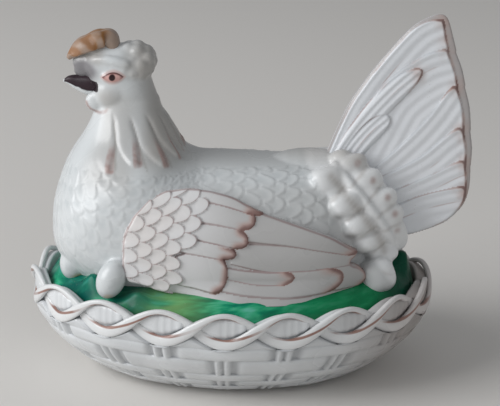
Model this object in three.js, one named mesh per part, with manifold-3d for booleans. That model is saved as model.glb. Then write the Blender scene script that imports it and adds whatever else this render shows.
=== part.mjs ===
import * as THREE from 'three';
import { mergeVertices } from 'three/addons/utils/BufferGeometryUtils.js';
import Module from 'manifold-3d';

const wasm = await Module();
wasm.setup();

// A glazed pottery hen sitting on an oval basket. The basket is the dish and the hen on
// her nest is its cover. Lengths are millimetres, Z is up and the origin is the middle of
// the foot. The hen looks along -X, so her left wing is on the -Y side.

// Sizes shared by several pieces
const luteGap = 0.3; // joint line between pieces laid against each other
const overrun = 60; // how far a cutting solid reaches past what it cuts
const ringSides = 72; // steps round the basket, four to a scallop
const nestSides = 54; // steps round the nest

// Sizes of the basket
const rimLength = 195.6; // between the middles of the twisted strands, along X
const rimWidth = 138.6; // between the middles of the twisted strands, along Y
const rimHeight = 43; // middle of the twist above the foot
const scallopCount = 18;
const scallopPhase = 0.89; // where the first crossing lies, in scallops from +X
const scallopRise = 6.2; // how far a strand swings above and below the middle
const strandBreadth = 3.8;
const strandBreadthShare = 0.3; // how much broader the lower loops are, and narrower the upper
const strandThickness = 2.7;
const wallBulge = 2; // how far the woven wall stands outside the strand middles
const footInset = 30; // how much smaller the foot is than the wall at the sides
const footEndInset = 6; // and how much more so at the two ends
const wallCurvePower = 2.2;
const wallThickness = 6.5;
const floorThickness = 6;
const weaveDepth = 1.9; // height of a band above the grooves of the weave
const weaveStart = 2.6; // height of the plain foot edge below the weave
const lipThickness = 2.3;
const galleryDrop = 4.6; // gallery below the middle of the twist
const galleryWidth = 4;
const galleryThickness = 2.4;

// Sizes of the nest, which closes the basket and carries the hen
const lidClearance = 1; // between the nest and the wall of the basket
const nestEdgeHeight = 5.3; // upright edge of the nest above the gallery
const nestRise = 12; // height of the mound above its edge
const nestShoulder = 5; // how fast the mound rises
const nestThickness = 5;
const flangeDepth = 5.5; // locating flange below the gallery
const flangeThickness = 3.5;
const nestHoleLength = 136;
const nestHoleWidth = 68;
const nestHoleLead = 7; // middle of the opening in front of the middle of the dish

// Sizes of the hen's body and neck
const henHalfWidth = 46;
const bodyHalfHeight = 48.2;
const bodyCentreRise = 16.2; // widest level of the body above the nest's edge
const bodyRoundness = 2.25; // power of the rounded cross-section
const napeSet = 15; // bend of the neck in front of the middle of the dish
const napeClearance = 9.6; // bend of the neck above the top of the body
const rumpReach = 90.5; // from the bend line to the end of the rump
const breastReach = 92; // from the bend point to the breast
const neckReach = 58.3; // from the bend point to the throat
const napeRadius = 13.2; // from the bend point to the back of the neck
const neckHalfWidth = 21.5;
const neckRise = 18; // from the bend point to the head
const hackleDepth = 1.8; // depth of the grooves between the long neck feathers
const henWall = 5.5;
const bodySides = 24;

// Sizes of the head
const headHeight = 25.5;
const headLength = 29;
const headHalfWidth = 13.3;
const beakLength = 16.5;
const beakHalfHeight = 7;
const beakHalfWidth = 6.4;
const combReach = 24;
const combHalfWidth = 7;
const combThickness = 8.4;
const knobRadius = 5.4;
const wattleLength = 13;
const wattleDrop = 9.6;
const wattleThickness = 6;

// Sizes of the wings, the tail and the tufts
const wingLead = 37; // wings start this far in front of the bend of the neck
const wingTipGap = 12; // and end this far before the end of the rump
const wingFoot = 5; // lower edge of a wing above the nest's edge
const wingHeight = 51;
const wingStandOff = 4.8; // outer face of a wing outside the body
const wingLayer = 1.1; // step between one row of feathers and the next
const tailLength = 78;
const tailThickness = 9;
const rollLobe = 8.4;
const tuftHeight = 18.4;
const tuftBreadth = 13;
const tuftLean = Math.PI / 7;

// Heights and radii that follow from the sizes above
const halfLength = rimLength / 2;
const halfWidth = rimWidth / 2;
const strandSwing = strandThickness / 2 + luteGap / 2;
const strandSpan = strandSwing + strandThickness / 2;
const lipInset = strandSpan + luteGap;
const galleryHeight = rimHeight - galleryDrop;
const nestInset = lipInset + lipThickness + lidClearance;
const galleryInset = lipInset + lipThickness + galleryWidth;
const flangeInset = galleryInset + lidClearance;
const nestEdge = galleryHeight + luteGap + nestEdgeHeight;
const sitHeight = nestEdge;
const bodyCentre = sitHeight + bodyCentreRise;
const napeX = -napeSet;
const napeHeight = bodyCentre + bodyHalfHeight + napeClearance;
const headSeat = napeHeight + neckRise;
const wingFront = napeX - wingLead;
const wingLength = wingLead + rumpReach - wingTipGap;
const wingSpread = henHalfWidth + wingStandOff;
const wingHalfHeight = bodyHalfHeight + wingStandOff * 0.8;

// Glaze colours
const creamWhite = { color: 0xdfe2e2, roughness: 0.16, metalness: 0 };
const basketWhite = { color: 0xd9dad9, roughness: 0.2, metalness: 0 };
const nestGreen = { color: 0x1f8a5f, roughness: 0.18, metalness: 0 };
const beakBlack = { color: 0x2a1a20, roughness: 0.2, metalness: 0 };
const combTan = { color: 0xb68a58, roughness: 0.2, metalness: 0 };
const wingWhite = { color: 0xd8cfc9, roughness: 0.16, metalness: 0 };

const group = new THREE.Group();

// Turns a closed geometry into a solid that can be joined and cut
function solidOf(geometry) {
  const bare = new THREE.BufferGeometry();
  bare.setAttribute('position', geometry.getAttribute('position'));
  bare.setIndex(geometry.getIndex());
  const merged = mergeVertices(bare);
  return new wasm.Manifold(new wasm.Mesh({
    numProp: 3,
    vertProperties: new Float32Array(merged.getAttribute('position').array),
    triVerts: new Uint32Array(merged.getIndex().array),
  }));
}

// Adds a finished solid to the model as a named piece
function addPiece(name, solid, finish) {
  const mesh = solid.getMesh();
  const geometry = new THREE.BufferGeometry();
  const places = [];
  for (let i = 0; i < mesh.vertProperties.length; i += mesh.numProp) {
    places.push(...mesh.vertProperties.slice(i, i + 3));
  }
  geometry.setAttribute('position', new THREE.Float32BufferAttribute(places, 3));
  geometry.setIndex(Array.from(mesh.triVerts));
  geometry.computeVertexNormals();
  const piece = new THREE.Mesh(geometry, new THREE.MeshStandardMaterial(finish));
  piece.name = name;
  group.add(piece);
}

// A geometry of points and faces, turned over if its faces look inward
function facingOut(points, faces) {
  let volume = 0;
  for (let i = 0; i < faces.length; i += 3) {
    const [a, b, c] = [points[faces[i]], points[faces[i + 1]], points[faces[i + 2]]];
    volume += a.dot(new THREE.Vector3().crossVectors(b, c));
  }
  if (volume < 0) faces.reverse();
  const geometry = new THREE.BufferGeometry().setFromPoints(points);
  geometry.setIndex(faces);
  return geometry;
}

// Skins a row of rings that all have the same number of points. The ends are closed over
// their middles, or the last ring joins the first.
function skin(rings, joined = false) {
  const count = rings[0].length;
  const points = rings.flat();
  const faces = [];
  const spans = joined ? rings.length : rings.length - 1;
  for (let i = 0; i < spans; i += 1) {
    const a = i * count;
    const b = ((i + 1) % rings.length) * count;
    for (let j = 0; j < count; j += 1) {
      const k = (j + 1) % count;
      faces.push(a + j, a + k, b + k, a + j, b + k, b + j);
    }
  }
  if (!joined) {
    const last = (rings.length - 1) * count;
    const first = points.length;
    for (const ring of [rings[0], rings[rings.length - 1]]) {
      const middle = new THREE.Vector3();
      ring.forEach((point) => middle.add(point));
      points.push(middle.divideScalar(count));
    }
    for (let j = 0; j < count; j += 1) {
      const k = (j + 1) % count;
      faces.push(first, k, j, first + 1, last + j, last + k);
    }
  }
  return solidOf(facingOut(points, faces));
}

// Joins two grids of points that face each other, row by row, into one closed plate
function plate(front, back) {
  const [rows, columns] = [front.length, front[0].length];
  const points = [...front.flat(), ...back.flat()];
  const far = rows * columns;
  const faces = [];
  const quad = (a, b, c, d) => faces.push(a, b, c, a, c, d);
  const at = (row, column) => row * columns + column;
  for (let i = 0; i + 1 < rows; i += 1) {
    for (let j = 0; j + 1 < columns; j += 1) {
      const [a, b, c, d] = [at(i, j), at(i, j + 1), at(i + 1, j + 1), at(i + 1, j)];
      quad(a, b, c, d);
      quad(far + d, far + c, far + b, far + a);
    }
    for (const [from, to] of [[at(i + 1, 0), at(i, 0)], [at(i, columns - 1), at(i + 1, columns - 1)]]) {
      quad(from, far + from, far + to, to);
    }
  }
  for (let j = 0; j + 1 < columns; j += 1) {
    quad(at(0, j), far + at(0, j), far + at(0, j + 1), at(0, j + 1));
    const last = rows - 1;
    quad(at(last, j + 1), far + at(last, j + 1), far + at(last, j), at(last, j));
  }
  return solidOf(facingOut(points, faces));
}

// An egg-shaped solid with its own half sizes, turned about Y
function egg(centre, radii, turn = 0, sides = 10) {
  const geometry = new THREE.SphereGeometry(1, sides, Math.round(sides / 2) + 1);
  geometry.rotateX(Math.PI / 2);
  geometry.scale(radii.x, radii.y, radii.z);
  geometry.rotateY(turn);
  geometry.translate(centre.x, centre.y, centre.z);
  return solidOf(geometry);
}

function joinAll(solids) {
  return solids.reduce((whole, solid) => whole.add(solid));
}

// A flat outline in the side view, as a slab on one side of the hen from one distance off
// the middle to another
function sideSlab(outline, side, near, far) {
  const geometry = new THREE.ExtrudeGeometry(new THREE.Shape(outline), {
    depth: far - near,
    bevelEnabled: false,
  });
  geometry.rotateX(Math.PI / 2);
  geometry.translate(0, side < 0 ? -near : far, 0);
  return solidOf(geometry);
}

function mix(a, b, share) {
  return a + (b - a) * share;
}

// Reads a value between the rows of a table whose first column rises
function along(rows, place, column) {
  const last = rows.length - 1;
  if (place <= rows[0][0]) return rows[0][column];
  for (let i = 0; i < last; i += 1) {
    const [low, high] = [rows[i], rows[i + 1]];
    if (place <= high[0]) {
      return mix(low[column], high[column], (place - low[0]) / (high[0] - low[0]));
    }
  }
  return rows[last][column];
}

// Angles round the rim that cut its length into equal steps, so that every scallop is
// equally long. Step 0 is a crossing of the strands.
function rimAngles(steps) {
  const fineSteps = 2000;
  const lengths = [0];
  const edge = (angle) => new THREE.Vector2(
    halfLength * Math.cos(angle),
    halfWidth * Math.sin(angle),
  );
  for (let i = 1; i <= fineSteps; i += 1) {
    const [from, to] = [(i - 1) / fineSteps, i / fineSteps].map((s) => edge(s * 2 * Math.PI));
    lengths.push(lengths[i - 1] + from.distanceTo(to));
  }
  const whole = lengths[fineSteps];
  const angles = [];
  for (let step = 0; step < steps; step += 1) {
    const share = (step / steps + scallopPhase / scallopCount) % 1;
    const found = lengths.findIndex((length) => length >= share * whole);
    angles.push((found / fineSteps) * 2 * Math.PI);
  }
  return angles;
}

// One level ring a given distance inside the middle line of the strands, and drawn in
// further toward the two ends by a distance of its own
function levelRing(angles, inset, height, drawn = 0) {
  return angles.map((angle, step) => {
    const inside = typeof inset === 'function' ? inset(step) : inset;
    const level = typeof height === 'function' ? height(step) : height;
    return new THREE.Vector3(
      (halfLength - inside - drawn) * Math.cos(angle),
      (halfWidth - inside) * Math.sin(angle),
      level,
    );
  });
}

// How far the woven wall has drawn in at a height above the foot, as a share of the foot's
function wallShare(height) {
  return Math.max(0, 1 - height / rimHeight) ** wallCurvePower;
}

// One ring a given distance inside the woven wall, level or with a height for each step
function wallRing(angles, wallHeight, inside, height = wallHeight) {
  const share = wallShare(wallHeight);
  const inset = (step) => footInset * share - wallBulge
    + (typeof inside === 'function' ? inside(step) : inside);
  return levelRing(angles, inset, height, footEndInset * share);
}

// How broad a strand is at its place in the twist, from 1 at the top to -1 at the bottom
function breadthAt(swing) {
  return strandBreadth * (1 - strandBreadthShare * swing);
}

// Height of the twist's lower strand over the wall, with a joint line below it
function underTwist(step, stepsPerScallop) {
  const swing = Math.abs(Math.sin((Math.PI * step) / stepsPerScallop));
  const slope = (Math.PI * scallopRise * scallopCount) / (2 * Math.PI * halfWidth);
  const breadth = breadthAt(-swing) * Math.hypot(1, slope * (1 - swing));
  const sag = scallopRise * (1 - Math.cos(Math.PI / (2 * stepsPerScallop)));
  return rimHeight - scallopRise * swing - breadth / 2 - luteGap - sag;
}

// The basket: an oval press-moulded bowl. Bands of the weave pass over pairs of upright
// stakes in alternate columns, one column to a scallop, and the rows of bands are unequal.
// Above the weave the wall steps in behind the twisted rim, and inside it a narrow gallery
// carries the nest.
function basketBowl() {
  const angles = rimAngles(ringSides);
  const stepsPerColumn = ringSides / scallopCount;
  const bandShares = [0.55, 1, 1, 1];
  const stakeShares = [0.55, 0.62, 0.16, 0.62];
  const weaveTop = rimHeight - scallopRise - breadthAt(-1) / 2 - luteGap;
  const rowShares = [1, 0.778, 0.47, 0.3, 0.14, 0];
  const levelShares = [1, 0.8, 0.2];
  const relief = (step, row) => {
    const column = Math.floor(step / stepsPerColumn);
    const shares = (column + row) % 2 === 0 ? bandShares : stakeShares;
    return weaveDepth * shares[step % stepsPerColumn];
  };
  const rings = [
    wallRing(angles, 0, weaveDepth * 2 + floorThickness),
    wallRing(angles, 0, weaveDepth * 2),
    wallRing(angles, weaveStart, weaveDepth),
  ];
  for (let row = rowShares.length - 2; row >= 0; row -= 1) {
    [...levelShares].reverse().forEach((share) => {
      const way = mix(rowShares[row + 1], rowShares[row], share);
      const height = mix(weaveStart, weaveTop, way);
      const flat = share === 1;
      if (flat && row === 0) return;
      rings.push(wallRing(
        angles,
        height,
        (step) => weaveDepth - (flat ? 0 : relief(step, row)),
      ));
    });
  }
  const shoulder = (step) => underTwist(step % stepsPerColumn, stepsPerColumn);
  const lipTop = (step) => {
    const swing = Math.abs(Math.sin((Math.PI * step) / stepsPerColumn));
    return rimHeight + (scallopRise - breadthAt(1) / 2) * swing;
  };
  const insideFloor = floorThickness;
  const galleryFoot = galleryHeight - galleryThickness;
  const galleryRoot = galleryFoot - galleryWidth;
  rings.push(
    wallRing(angles, weaveTop, weaveDepth / 2, shoulder),
    levelRing(angles, lipInset, shoulder),
    levelRing(angles, lipInset, lipTop),
    levelRing(angles, lipInset + lipThickness, lipTop),
    levelRing(angles, lipInset + lipThickness, galleryHeight),
    levelRing(angles, galleryInset, galleryHeight),
    levelRing(angles, galleryInset, galleryFoot),
    wallRing(angles, galleryRoot, wallThickness),
  );
  const bowlSteps = 4;
  for (let i = 1; i <= bowlSteps; i += 1) {
    const share = (1 - i / bowlSteps) ** 1.4;
    const height = mix(insideFloor, galleryRoot, share);
    rings.push(wallRing(angles, height, wallThickness));
  }
  rings.push(wallRing(angles, insideFloor, wallThickness * 2));
  return skin(rings);
}

// One of the two flat strands that twist round each other along the rim. Where a strand
// climbs it lies outside the other, and where it falls it lies inside.
function rimStrand(turn) {
  const stepsPerScallop = 4;
  const sectionSides = 6;
  const angles = rimAngles(scallopCount * stepsPerScallop);
  const swings = angles.map((angle, step) => turn + (Math.PI * step) / stepsPerScallop);
  const places = angles.map((angle, step) => levelRing(
    [angle],
    -strandSwing * Math.cos(swings[step]),
    rimHeight + scallopRise * Math.sin(swings[step]),
  )[0]);
  const rings = places.map((place, step) => {
    const next = places[(step + 1) % places.length];
    const before = places[(step + places.length - 1) % places.length];
    const forward = next.clone().sub(before).normalize();
    const angle = angles[step];
    const outward = new THREE.Vector3(
      halfWidth * Math.cos(angle),
      halfLength * Math.sin(angle),
      0,
    ).normalize();
    const across = new THREE.Vector3().crossVectors(outward, forward).normalize();
    const breadth = breadthAt(Math.sin(swings[step]));
    const section = [];
    for (let side = 0; side < sectionSides; side += 1) {
      const turned = (2 * Math.PI * side) / sectionSides;
      section.push(place.clone()
        .addScaledVector(across, (breadth / 2) * Math.cos(turned))
        .addScaledVector(outward, (strandThickness / 2) * Math.sin(turned)));
    }
    return section;
  });
  return skin(rings, true);
}

// Height of the top of the nest a distance inside its edge
function moundHeight(inside) {
  return nestEdge + nestRise * (1 - Math.exp(-inside / nestShoulder));
}

const moundSteps = [0, 0.25, 0.7, 1.5, 3.4].map((share) => share * nestShoulder);

// Everything below the top of the nest, which trims what sits on it
function belowNest(gap) {
  const angles = rimAngles(nestSides);
  const rings = [
    levelRing(angles, nestInset - overrun, nestEdge - overrun),
    levelRing(angles, nestInset - overrun, nestEdge + gap),
  ];
  moundSteps.forEach((inside) => {
    rings.push(levelRing(angles, nestInset + inside, moundHeight(inside) + gap));
  });
  return skin(rings);
}

// The nest: a green mound with an upright edge that stands on the gallery, a flange that
// keeps it inside, and a large opening into the hollow hen.
function nestCover() {
  const angles = rimAngles(nestSides);
  const seat = galleryHeight + luteGap;
  const flangeInside = flangeInset + flangeThickness;
  const hole = (height) => angles.map((angle) => new THREE.Vector3(
    -nestHoleLead + (nestHoleLength / 2) * Math.cos(angle),
    (nestHoleWidth / 2) * Math.sin(angle),
    height,
  ));
  const top = moundSteps.map((inside) => (
    levelRing(angles, nestInset + inside, moundHeight(inside))
  ));
  const highest = moundHeight(moundSteps[moundSteps.length - 1]);
  const rings = [
    levelRing(angles, nestInset, seat),
    ...top,
    hole(highest),
    hole(highest - nestThickness),
    levelRing(angles, flangeInside + nestShoulder, highest - nestThickness),
    levelRing(angles, flangeInside, nestEdge),
    levelRing(angles, flangeInside, galleryHeight - flangeDepth),
    levelRing(angles, flangeInset, galleryHeight - flangeDepth),
    levelRing(angles, flangeInset, seat),
  ];
  return skin(rings, true);
}

// A ring of a rounded cross-section: a middle, two half sizes and their directions
function roundRing(middle, upward, rise, sideways, spread, sides = bodySides) {
  const power = 2 / bodyRoundness;
  const ring = [];
  for (let side = 0; side < sides; side += 1) {
    const angle = (2 * Math.PI * side) / sides;
    const [c, s] = [Math.cos(angle), Math.sin(angle)];
    ring.push(middle.clone()
      .addScaledVector(upward, rise * Math.sign(c) * Math.abs(c) ** power)
      .addScaledVector(sideways, spread * Math.sign(s) * Math.abs(s) ** power));
  }
  return ring;
}

const sidewards = new THREE.Vector3(0, 1, 0);

// Shape of the hen. The rump columns are: way back from the bend line, half height and
// half width. The breast columns are: turn from hanging straight down to level, outer
// reach, inner reach, half width and how deep the neck feathers are grooved there. The
// neck columns are: way up to the head, throat reach, nape reach, half width and grooves.
const rumpShares = [
  [1, 0.06, 0.03],
  [0.975, 0.26, 0.17],
  [0.92, 0.52, 0.35],
  [0.84, 0.75, 0.52],
  [0.74, 0.91, 0.67],
  [0.6, 0.965, 0.84],
  [0.37, 0.985, 0.967],
];
const breastShares = [
  [0, 1.152, 0.72, 1, 0],
  [0.22, 1.065, 0.727, 1, 0],
  [0.42, 1.007, 0.77, 0.98, 0],
  [0.57, 0.996, 0.81, 0.945, 0],
  [0.7, 0.893, 0.856, 0.87, 0.5],
  [0.81, 0.79, 0.909, 0.74, 0.9],
  [0.9, 0.714, 0.955, 0.62, 1],
];
const neckShares = [
  [0, 1, 1, 1, 1],
  [0.4, 0.936, 1.326, 0.79, 0.9],
  [0.73, 0.9, 1.54, 0.68, 0.6],
  [1, 0.875, 1.652, 0.605, 0],
];

// Draws every second point of a ring in toward its middle
function grooved(ring, middle, depth) {
  return ring.map((point, i) => (
    i % 2 ? point.addScaledVector(middle.clone().sub(point).normalize(), depth) : point
  ));
}

// The hen's body with its neck, grown outward by a distance, or shrunk by a negative one
function henShape(grow, neckEnd = 1) {
  const rings = [];
  const up = new THREE.Vector3(0, 0, 1);
  rumpShares.forEach(([way, high, wide]) => {
    const middle = new THREE.Vector3(napeX + rumpReach * way + grow * way, 0, bodyCentre);
    const rise = Math.max(bodyHalfHeight * high + grow, luteGap);
    const spread = Math.max(henHalfWidth * wide + grow, luteGap);
    rings.push(roundRing(middle, up, rise, sidewards, spread));
  });
  breastShares.forEach(([turn, outer, inner, wide, groove]) => {
    const angle = (turn * Math.PI) / 2;
    const away = new THREE.Vector3(-Math.sin(angle), 0, -Math.cos(angle));
    const [near, far] = [napeRadius * inner - grow, breastReach * outer + grow];
    const middle = new THREE.Vector3(napeX, 0, napeHeight)
      .addScaledVector(away, (near + far) / 2);
    const upward = away.clone().negate();
    const spread = henHalfWidth * wide + grow;
    const ring = roundRing(middle, upward, (far - near) / 2, sidewards, spread);
    rings.push(grooved(ring, middle, hackleDepth * groove));
  });
  const back = new THREE.Vector3(1, 0, 0);
  neckShares.filter(([way]) => way <= neckEnd).forEach(([way, throat, nape, wide, groove]) => {
    const [near, far] = [napeRadius * nape - grow, neckReach * throat + grow];
    const level = napeHeight + neckRise * way;
    const middle = new THREE.Vector3(napeX - (near + far) / 2, 0, level);
    const spread = neckHalfWidth * wide + grow;
    const ring = roundRing(middle, back, (far - near) / 2, sidewards, spread);
    rings.push(grooved(ring, middle, hackleDepth * groove));
  });
  return skin(rings);
}

// The hen's body: a hollow shell open underneath, standing on the nest
function henBody() {
  const hollowNeck = 0.4;
  return henShape(0).subtract(henShape(-henWall, hollowNeck)).subtract(belowNest(luteGap));
}

// Middle of the neck where the head sits on it
const [, throatShare, napeShare, neckWidthShare] = neckShares[neckShares.length - 1];
const throatX = napeX - neckReach * throatShare;
const hindneckX = napeX - napeRadius * napeShare;
const headMiddle = (throatX + hindneckX) / 2;

// The head, lofted from level sections above the neck. The columns are: way up, front,
// back and half width, front and back from the middle in head lengths.
function henHead(grow) {
  const shares = [
    [0, 0.5, 0.5, 0.98],
    [0.2, 0.56, 0.47, 1],
    [0.4, 0.68, 0.43, 1],
    [0.56, 0.91, 0.42, 0.95],
    [0.66, 0.88, 0.4, 0.88],
    [0.82, 0.68, 0.34, 0.74],
    [0.93, 0.48, 0.24, 0.52],
    [1, 0.22, 0.05, 0.16],
  ];
  const rings = shares.map(([way, front, back, wide]) => {
    const middle = new THREE.Vector3(
      headMiddle - (headLength * (front - back)) / 2,
      0,
      headSeat + luteGap + headHeight * way + grow * way,
    );
    const rise = (headLength * (front + back)) / 2 + grow;
    const spread = headHalfWidth * wide + grow;
    return roundRing(middle, new THREE.Vector3(1, 0, 0), rise, sidewards, spread, 16);
  });
  return skin(rings);
}

// A place on the head: back from its middle, sideways and up, in head sizes
function headPlace(back, side, up) {
  return new THREE.Vector3(
    headMiddle + headLength * back,
    headHalfWidth * side,
    headSeat + luteGap + headHeight * up,
  );
}

// The beak, lofted forward from the face to a slightly hooked tip. The columns are: way
// forward, middle height in half heights, half height and half width.
function beak(grow) {
  const root = headPlace(-0.52, 0, 0.29);
  const shares = [
    [0, 0.05, 1, 1],
    [0.3, 0, 0.86, 0.8],
    [0.6, 0.02, 0.58, 0.54],
    [0.85, 0.1, 0.3, 0.28],
    [1, 0, 0.08, 0.08],
  ];
  const rings = shares.map(([way, drop, high, wide]) => roundRing(
    new THREE.Vector3(root.x - beakLength * way, 0, root.z + beakHalfHeight * drop),
    new THREE.Vector3(0, 0, 1),
    beakHalfHeight * high + grow,
    sidewards,
    beakHalfWidth * wide + grow,
    12,
  ));
  return skin(rings);
}

// The comb, a thick leaf that rises from the crown and curls forward over the beak. The
// columns are: forward, up, half width and half thickness.
function comb(grow) {
  const root = headPlace(-0.14, 0, 1);
  const shares = [
    [0, -0.06, 0.55, 0.7],
    [0.18, 0.06, 0.8, 0.95],
    [0.4, 0.06, 0.95, 1],
    [0.62, -0.04, 1, 1],
    [0.82, -0.16, 0.85, 0.85],
    [1, -0.34, 0.4, 0.4],
  ];
  const places = shares.map(([forward, up]) => new THREE.Vector3(
    root.x - combReach * forward,
    0,
    root.z + combReach * up,
  ));
  const rings = shares.map(([, , wide, thick], i) => {
    const next = places[Math.min(i + 1, places.length - 1)];
    const before = places[Math.max(i - 1, 0)];
    const forward = next.clone().sub(before).normalize();
    const up = new THREE.Vector3().crossVectors(forward, sidewards).normalize();
    const thickness = (combThickness / 2) * thick + grow;
    return roundRing(places[i], up, thickness, sidewards, combHalfWidth * wide + grow, 12);
  });
  return skin(rings);
}

// The knobbly feather crest behind the comb: back, side, up and size shares
function crest() {
  const shares = [
    [0.13, 0, 0.9, 1.1],
    [0.32, 0.34, 0.75, 1],
    [0.32, -0.34, 0.75, 1],
    [0.07, 0.46, 0.82, 1],
    [0.07, -0.46, 0.82, 1],
    [0.33, 0, 0.58, 1.1],
  ];
  return joinAll(shares.map(([back, side, up, size]) => {
    const radius = knobRadius * size;
    return egg(headPlace(back, side, up), new THREE.Vector3(radius, radius, radius), 0, 7);
  }));
}

// A wattle hanging under one side of the beak
function wattle(side) {
  const centre = headPlace(-0.46, side * 0.5, -0.04);
  const radii = new THREE.Vector3(wattleLength / 2, wattleThickness / 2, wattleDrop / 2);
  return egg(centre, radii, 0, 8);
}

// A place on the hen's side in the wing's own shares: back from its front edge and up
// from its lower edge
function wingPlace([back, up]) {
  return new THREE.Vector2(
    wingFront + wingLength * back,
    sitHeight + wingFoot + wingHeight * up,
  );
}

// A feathered outline: a smooth run of points, then rounded feather ends between the
// points of a second run
function featherOutline(smoothShares, tipShares, bulge) {
  const smooth = new THREE.SplineCurve(smoothShares.map(wingPlace)).getPoints(15);
  const tips = tipShares.map(wingPlace);
  const outline = smooth.slice(0, -1);
  for (let i = 0; i + 1 < tips.length; i += 1) {
    const [from, to] = [tips[i], tips[i + 1]];
    const chord = to.clone().sub(from);
    const outward = new THREE.Vector2(-chord.y, chord.x).multiplyScalar(bulge * 1.6);
    const control = from.clone().lerp(to, 0.5).add(outward);
    const arc = new THREE.QuadraticBezierCurve(from, control, to).getPoints(3);
    outline.push(...arc.slice(0, -1));
  }
  return outline;
}

// Outer face of the wings, which spread over the nest toward their tips
function wingFace(grow) {
  const shares = [
    [-0.08, 0.88],
    [0, 0.95],
    [0.15, 0.99],
    [0.36, 1],
    [0.6, 1],
    [0.78, 0.95],
    [0.9, 0.86],
    [1.02, 0.72],
  ];
  const rings = shares.map(([back, wide]) => roundRing(
    new THREE.Vector3(wingFront + wingLength * back, 0, bodyCentre),
    new THREE.Vector3(0, 0, 1),
    wingHalfHeight + grow,
    sidewards,
    wingSpread * wide + grow,
  ));
  return skin(rings);
}

// A folded wing in three overlapping rows: long flight feathers, shorter ones with
// rounded ends, and the small feathers of the shoulder.
function wing(side) {
  const rows = [
    {
      smooth: [
        [0.76, 0], [0.5, 0], [0.27, 0.06], [0.12, 0.13], [0.03, 0.18], [0, 0.44], [0.02, 0.6],
        [0.06, 0.76], [0.13, 0.9], [0.22, 0.985], [0.32, 1], [0.46, 0.955], [0.6, 0.83],
        [0.76, 0.68], [0.9, 0.52],
      ],
      tips: [[0.9, 0.52], [0.955, 0.385], [0.95, 0.3], [0.955, 0.06], [0.76, 0]],
      bulge: 0.2,
      rise: 0,
    },
    {
      smooth: [
        [0.42, 0.06], [0.27, 0.09], [0.13, 0.16], [0.045, 0.24], [0.015, 0.44], [0.035, 0.6],
        [0.075, 0.75], [0.14, 0.88], [0.225, 0.96], [0.32, 0.975], [0.46, 0.92],
      ],
      tips: [[0.46, 0.92], [0.56, 0.83], [0.53, 0.68], [0.46, 0.5], [0.68, 0.33], [0.42, 0.06]],
      bulge: 0.2,
      rise: wingLayer,
    },
    {
      smooth: [
        [0.24, 0.11], [0.14, 0.18], [0.065, 0.28], [0.035, 0.44], [0.05, 0.6], [0.09, 0.74],
        [0.15, 0.86], [0.23, 0.935], [0.32, 0.95], [0.44, 0.9],
      ],
      tips: [[0.44, 0.9], [0.36, 0.8], [0.34, 0.64], [0.3, 0.48], [0.25, 0.3], [0.24, 0.11]],
      bulge: 0.24,
      rise: 2 * wingLayer,
    },
  ];
  const inner = wingSpread - overrun / 2;
  const outer = wingSpread + overrun / 2;
  const layers = rows.map(({ smooth, tips, bulge, rise }) => (
    sideSlab(featherOutline(smooth, tips, bulge), side, inner, outer)
      .intersect(wingFace(rise - 2 * wingLayer))
  ));
  return joinAll(layers);
}

// A place on or near the body: back from the bend of the neck to the end of the rump, out
// from the middle and up from the body's middle, in body sizes
function bodyPlace(back, out, up) {
  return new THREE.Vector3(
    napeX + rumpReach * back,
    henHalfWidth * out,
    bodyCentre + bodyHalfHeight * up,
  );
}

// The upright tail: a fan of long feathers that spreads from the rump, thickest along each
// feather and rounded at its end, with two short feathers lying over the front ones. The
// columns are places across the fan: root of a feather, back and up in body sizes, then its
// bend and its end, each back and up from the root in tail lengths.
const tailFeathers = 7;
const fanShares = [
  [0, 0.69, 1.03, 0.2, 0.55, 0.65, 0.94],
  [0.25, 0.836, 0.955, 0.3, 0.36, 0.58, 0.68],
  [0.5, 0.957, 0.761, 0.3, 0.21, 0.52, 0.465],
  [0.75, 1.043, 0.518, 0.25, 0.13, 0.48, 0.32],
  [1, 1.095, 0.162, 0.2, 0.05, 0.38, 0.18],
];
const overShares = [[0.1, 0.42, 0.1], [0.24, 0.68, 0.11]];
function tailFan(grow) {
  const samples = 4;
  const columns = tailFeathers * samples;
  const rows = 8;
  const notch = 0.07;
  const halfDepth = tailThickness / 2;
  const grid = (side) => {
    const lines = [];
    for (let i = 0; i <= rows; i += 1) {
      const line = [];
      for (let j = 0; j <= columns; j += 1) {
        const across = j / columns;
        const [rootX, rootZ, bendX, bendZ, endX, endZ] = [1, 2, 3, 4, 5, 6]
          .map((column) => along(fanShares, across, column));
        const root = bodyPlace(rootX, 0, rootZ);
        const fromRoot = (back, up) => root.clone()
          .add(new THREE.Vector3(tailLength * back, 0, tailLength * up));
        const path = new THREE.QuadraticBezierCurve3(
          root,
          fromRoot(bendX, bendZ),
          fromRoot(endX, endZ),
        );
        const swell = Math.abs(Math.sin((Math.PI * j) / samples)) ** 0.7;
        const share = i / rows;
        const point = path.getPoint(share * (1 - notch * (1 - swell)));
        const forward = path.getTangent(share);
        const beside = new THREE.Vector3().crossVectors(forward, sidewards).normalize();
        const border = j === 0 || j === columns ? 0.45 : 1;
        const over = overShares.some(([at, reach, width]) => (
          Math.abs(across - at) < width && share < reach
        )) ? 0.16 : 0;
        const end = i === rows ? 0.35 : 1 - 0.3 * share;
        const flare = 0.6 * (1 - share) ** 4;
        const depth = halfDepth * (border * end * (0.5 + 0.5 * swell) + over + flare);
        point.addScaledVector(beside, grow * (2 * across - 1));
        point.addScaledVector(forward, i === rows ? grow : 0);
        line.push(point.setY(side * (depth + grow)));
      }
      lines.push(line);
    }
    return lines;
  };
  return plate(grid(-1), grid(1));
}

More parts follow.
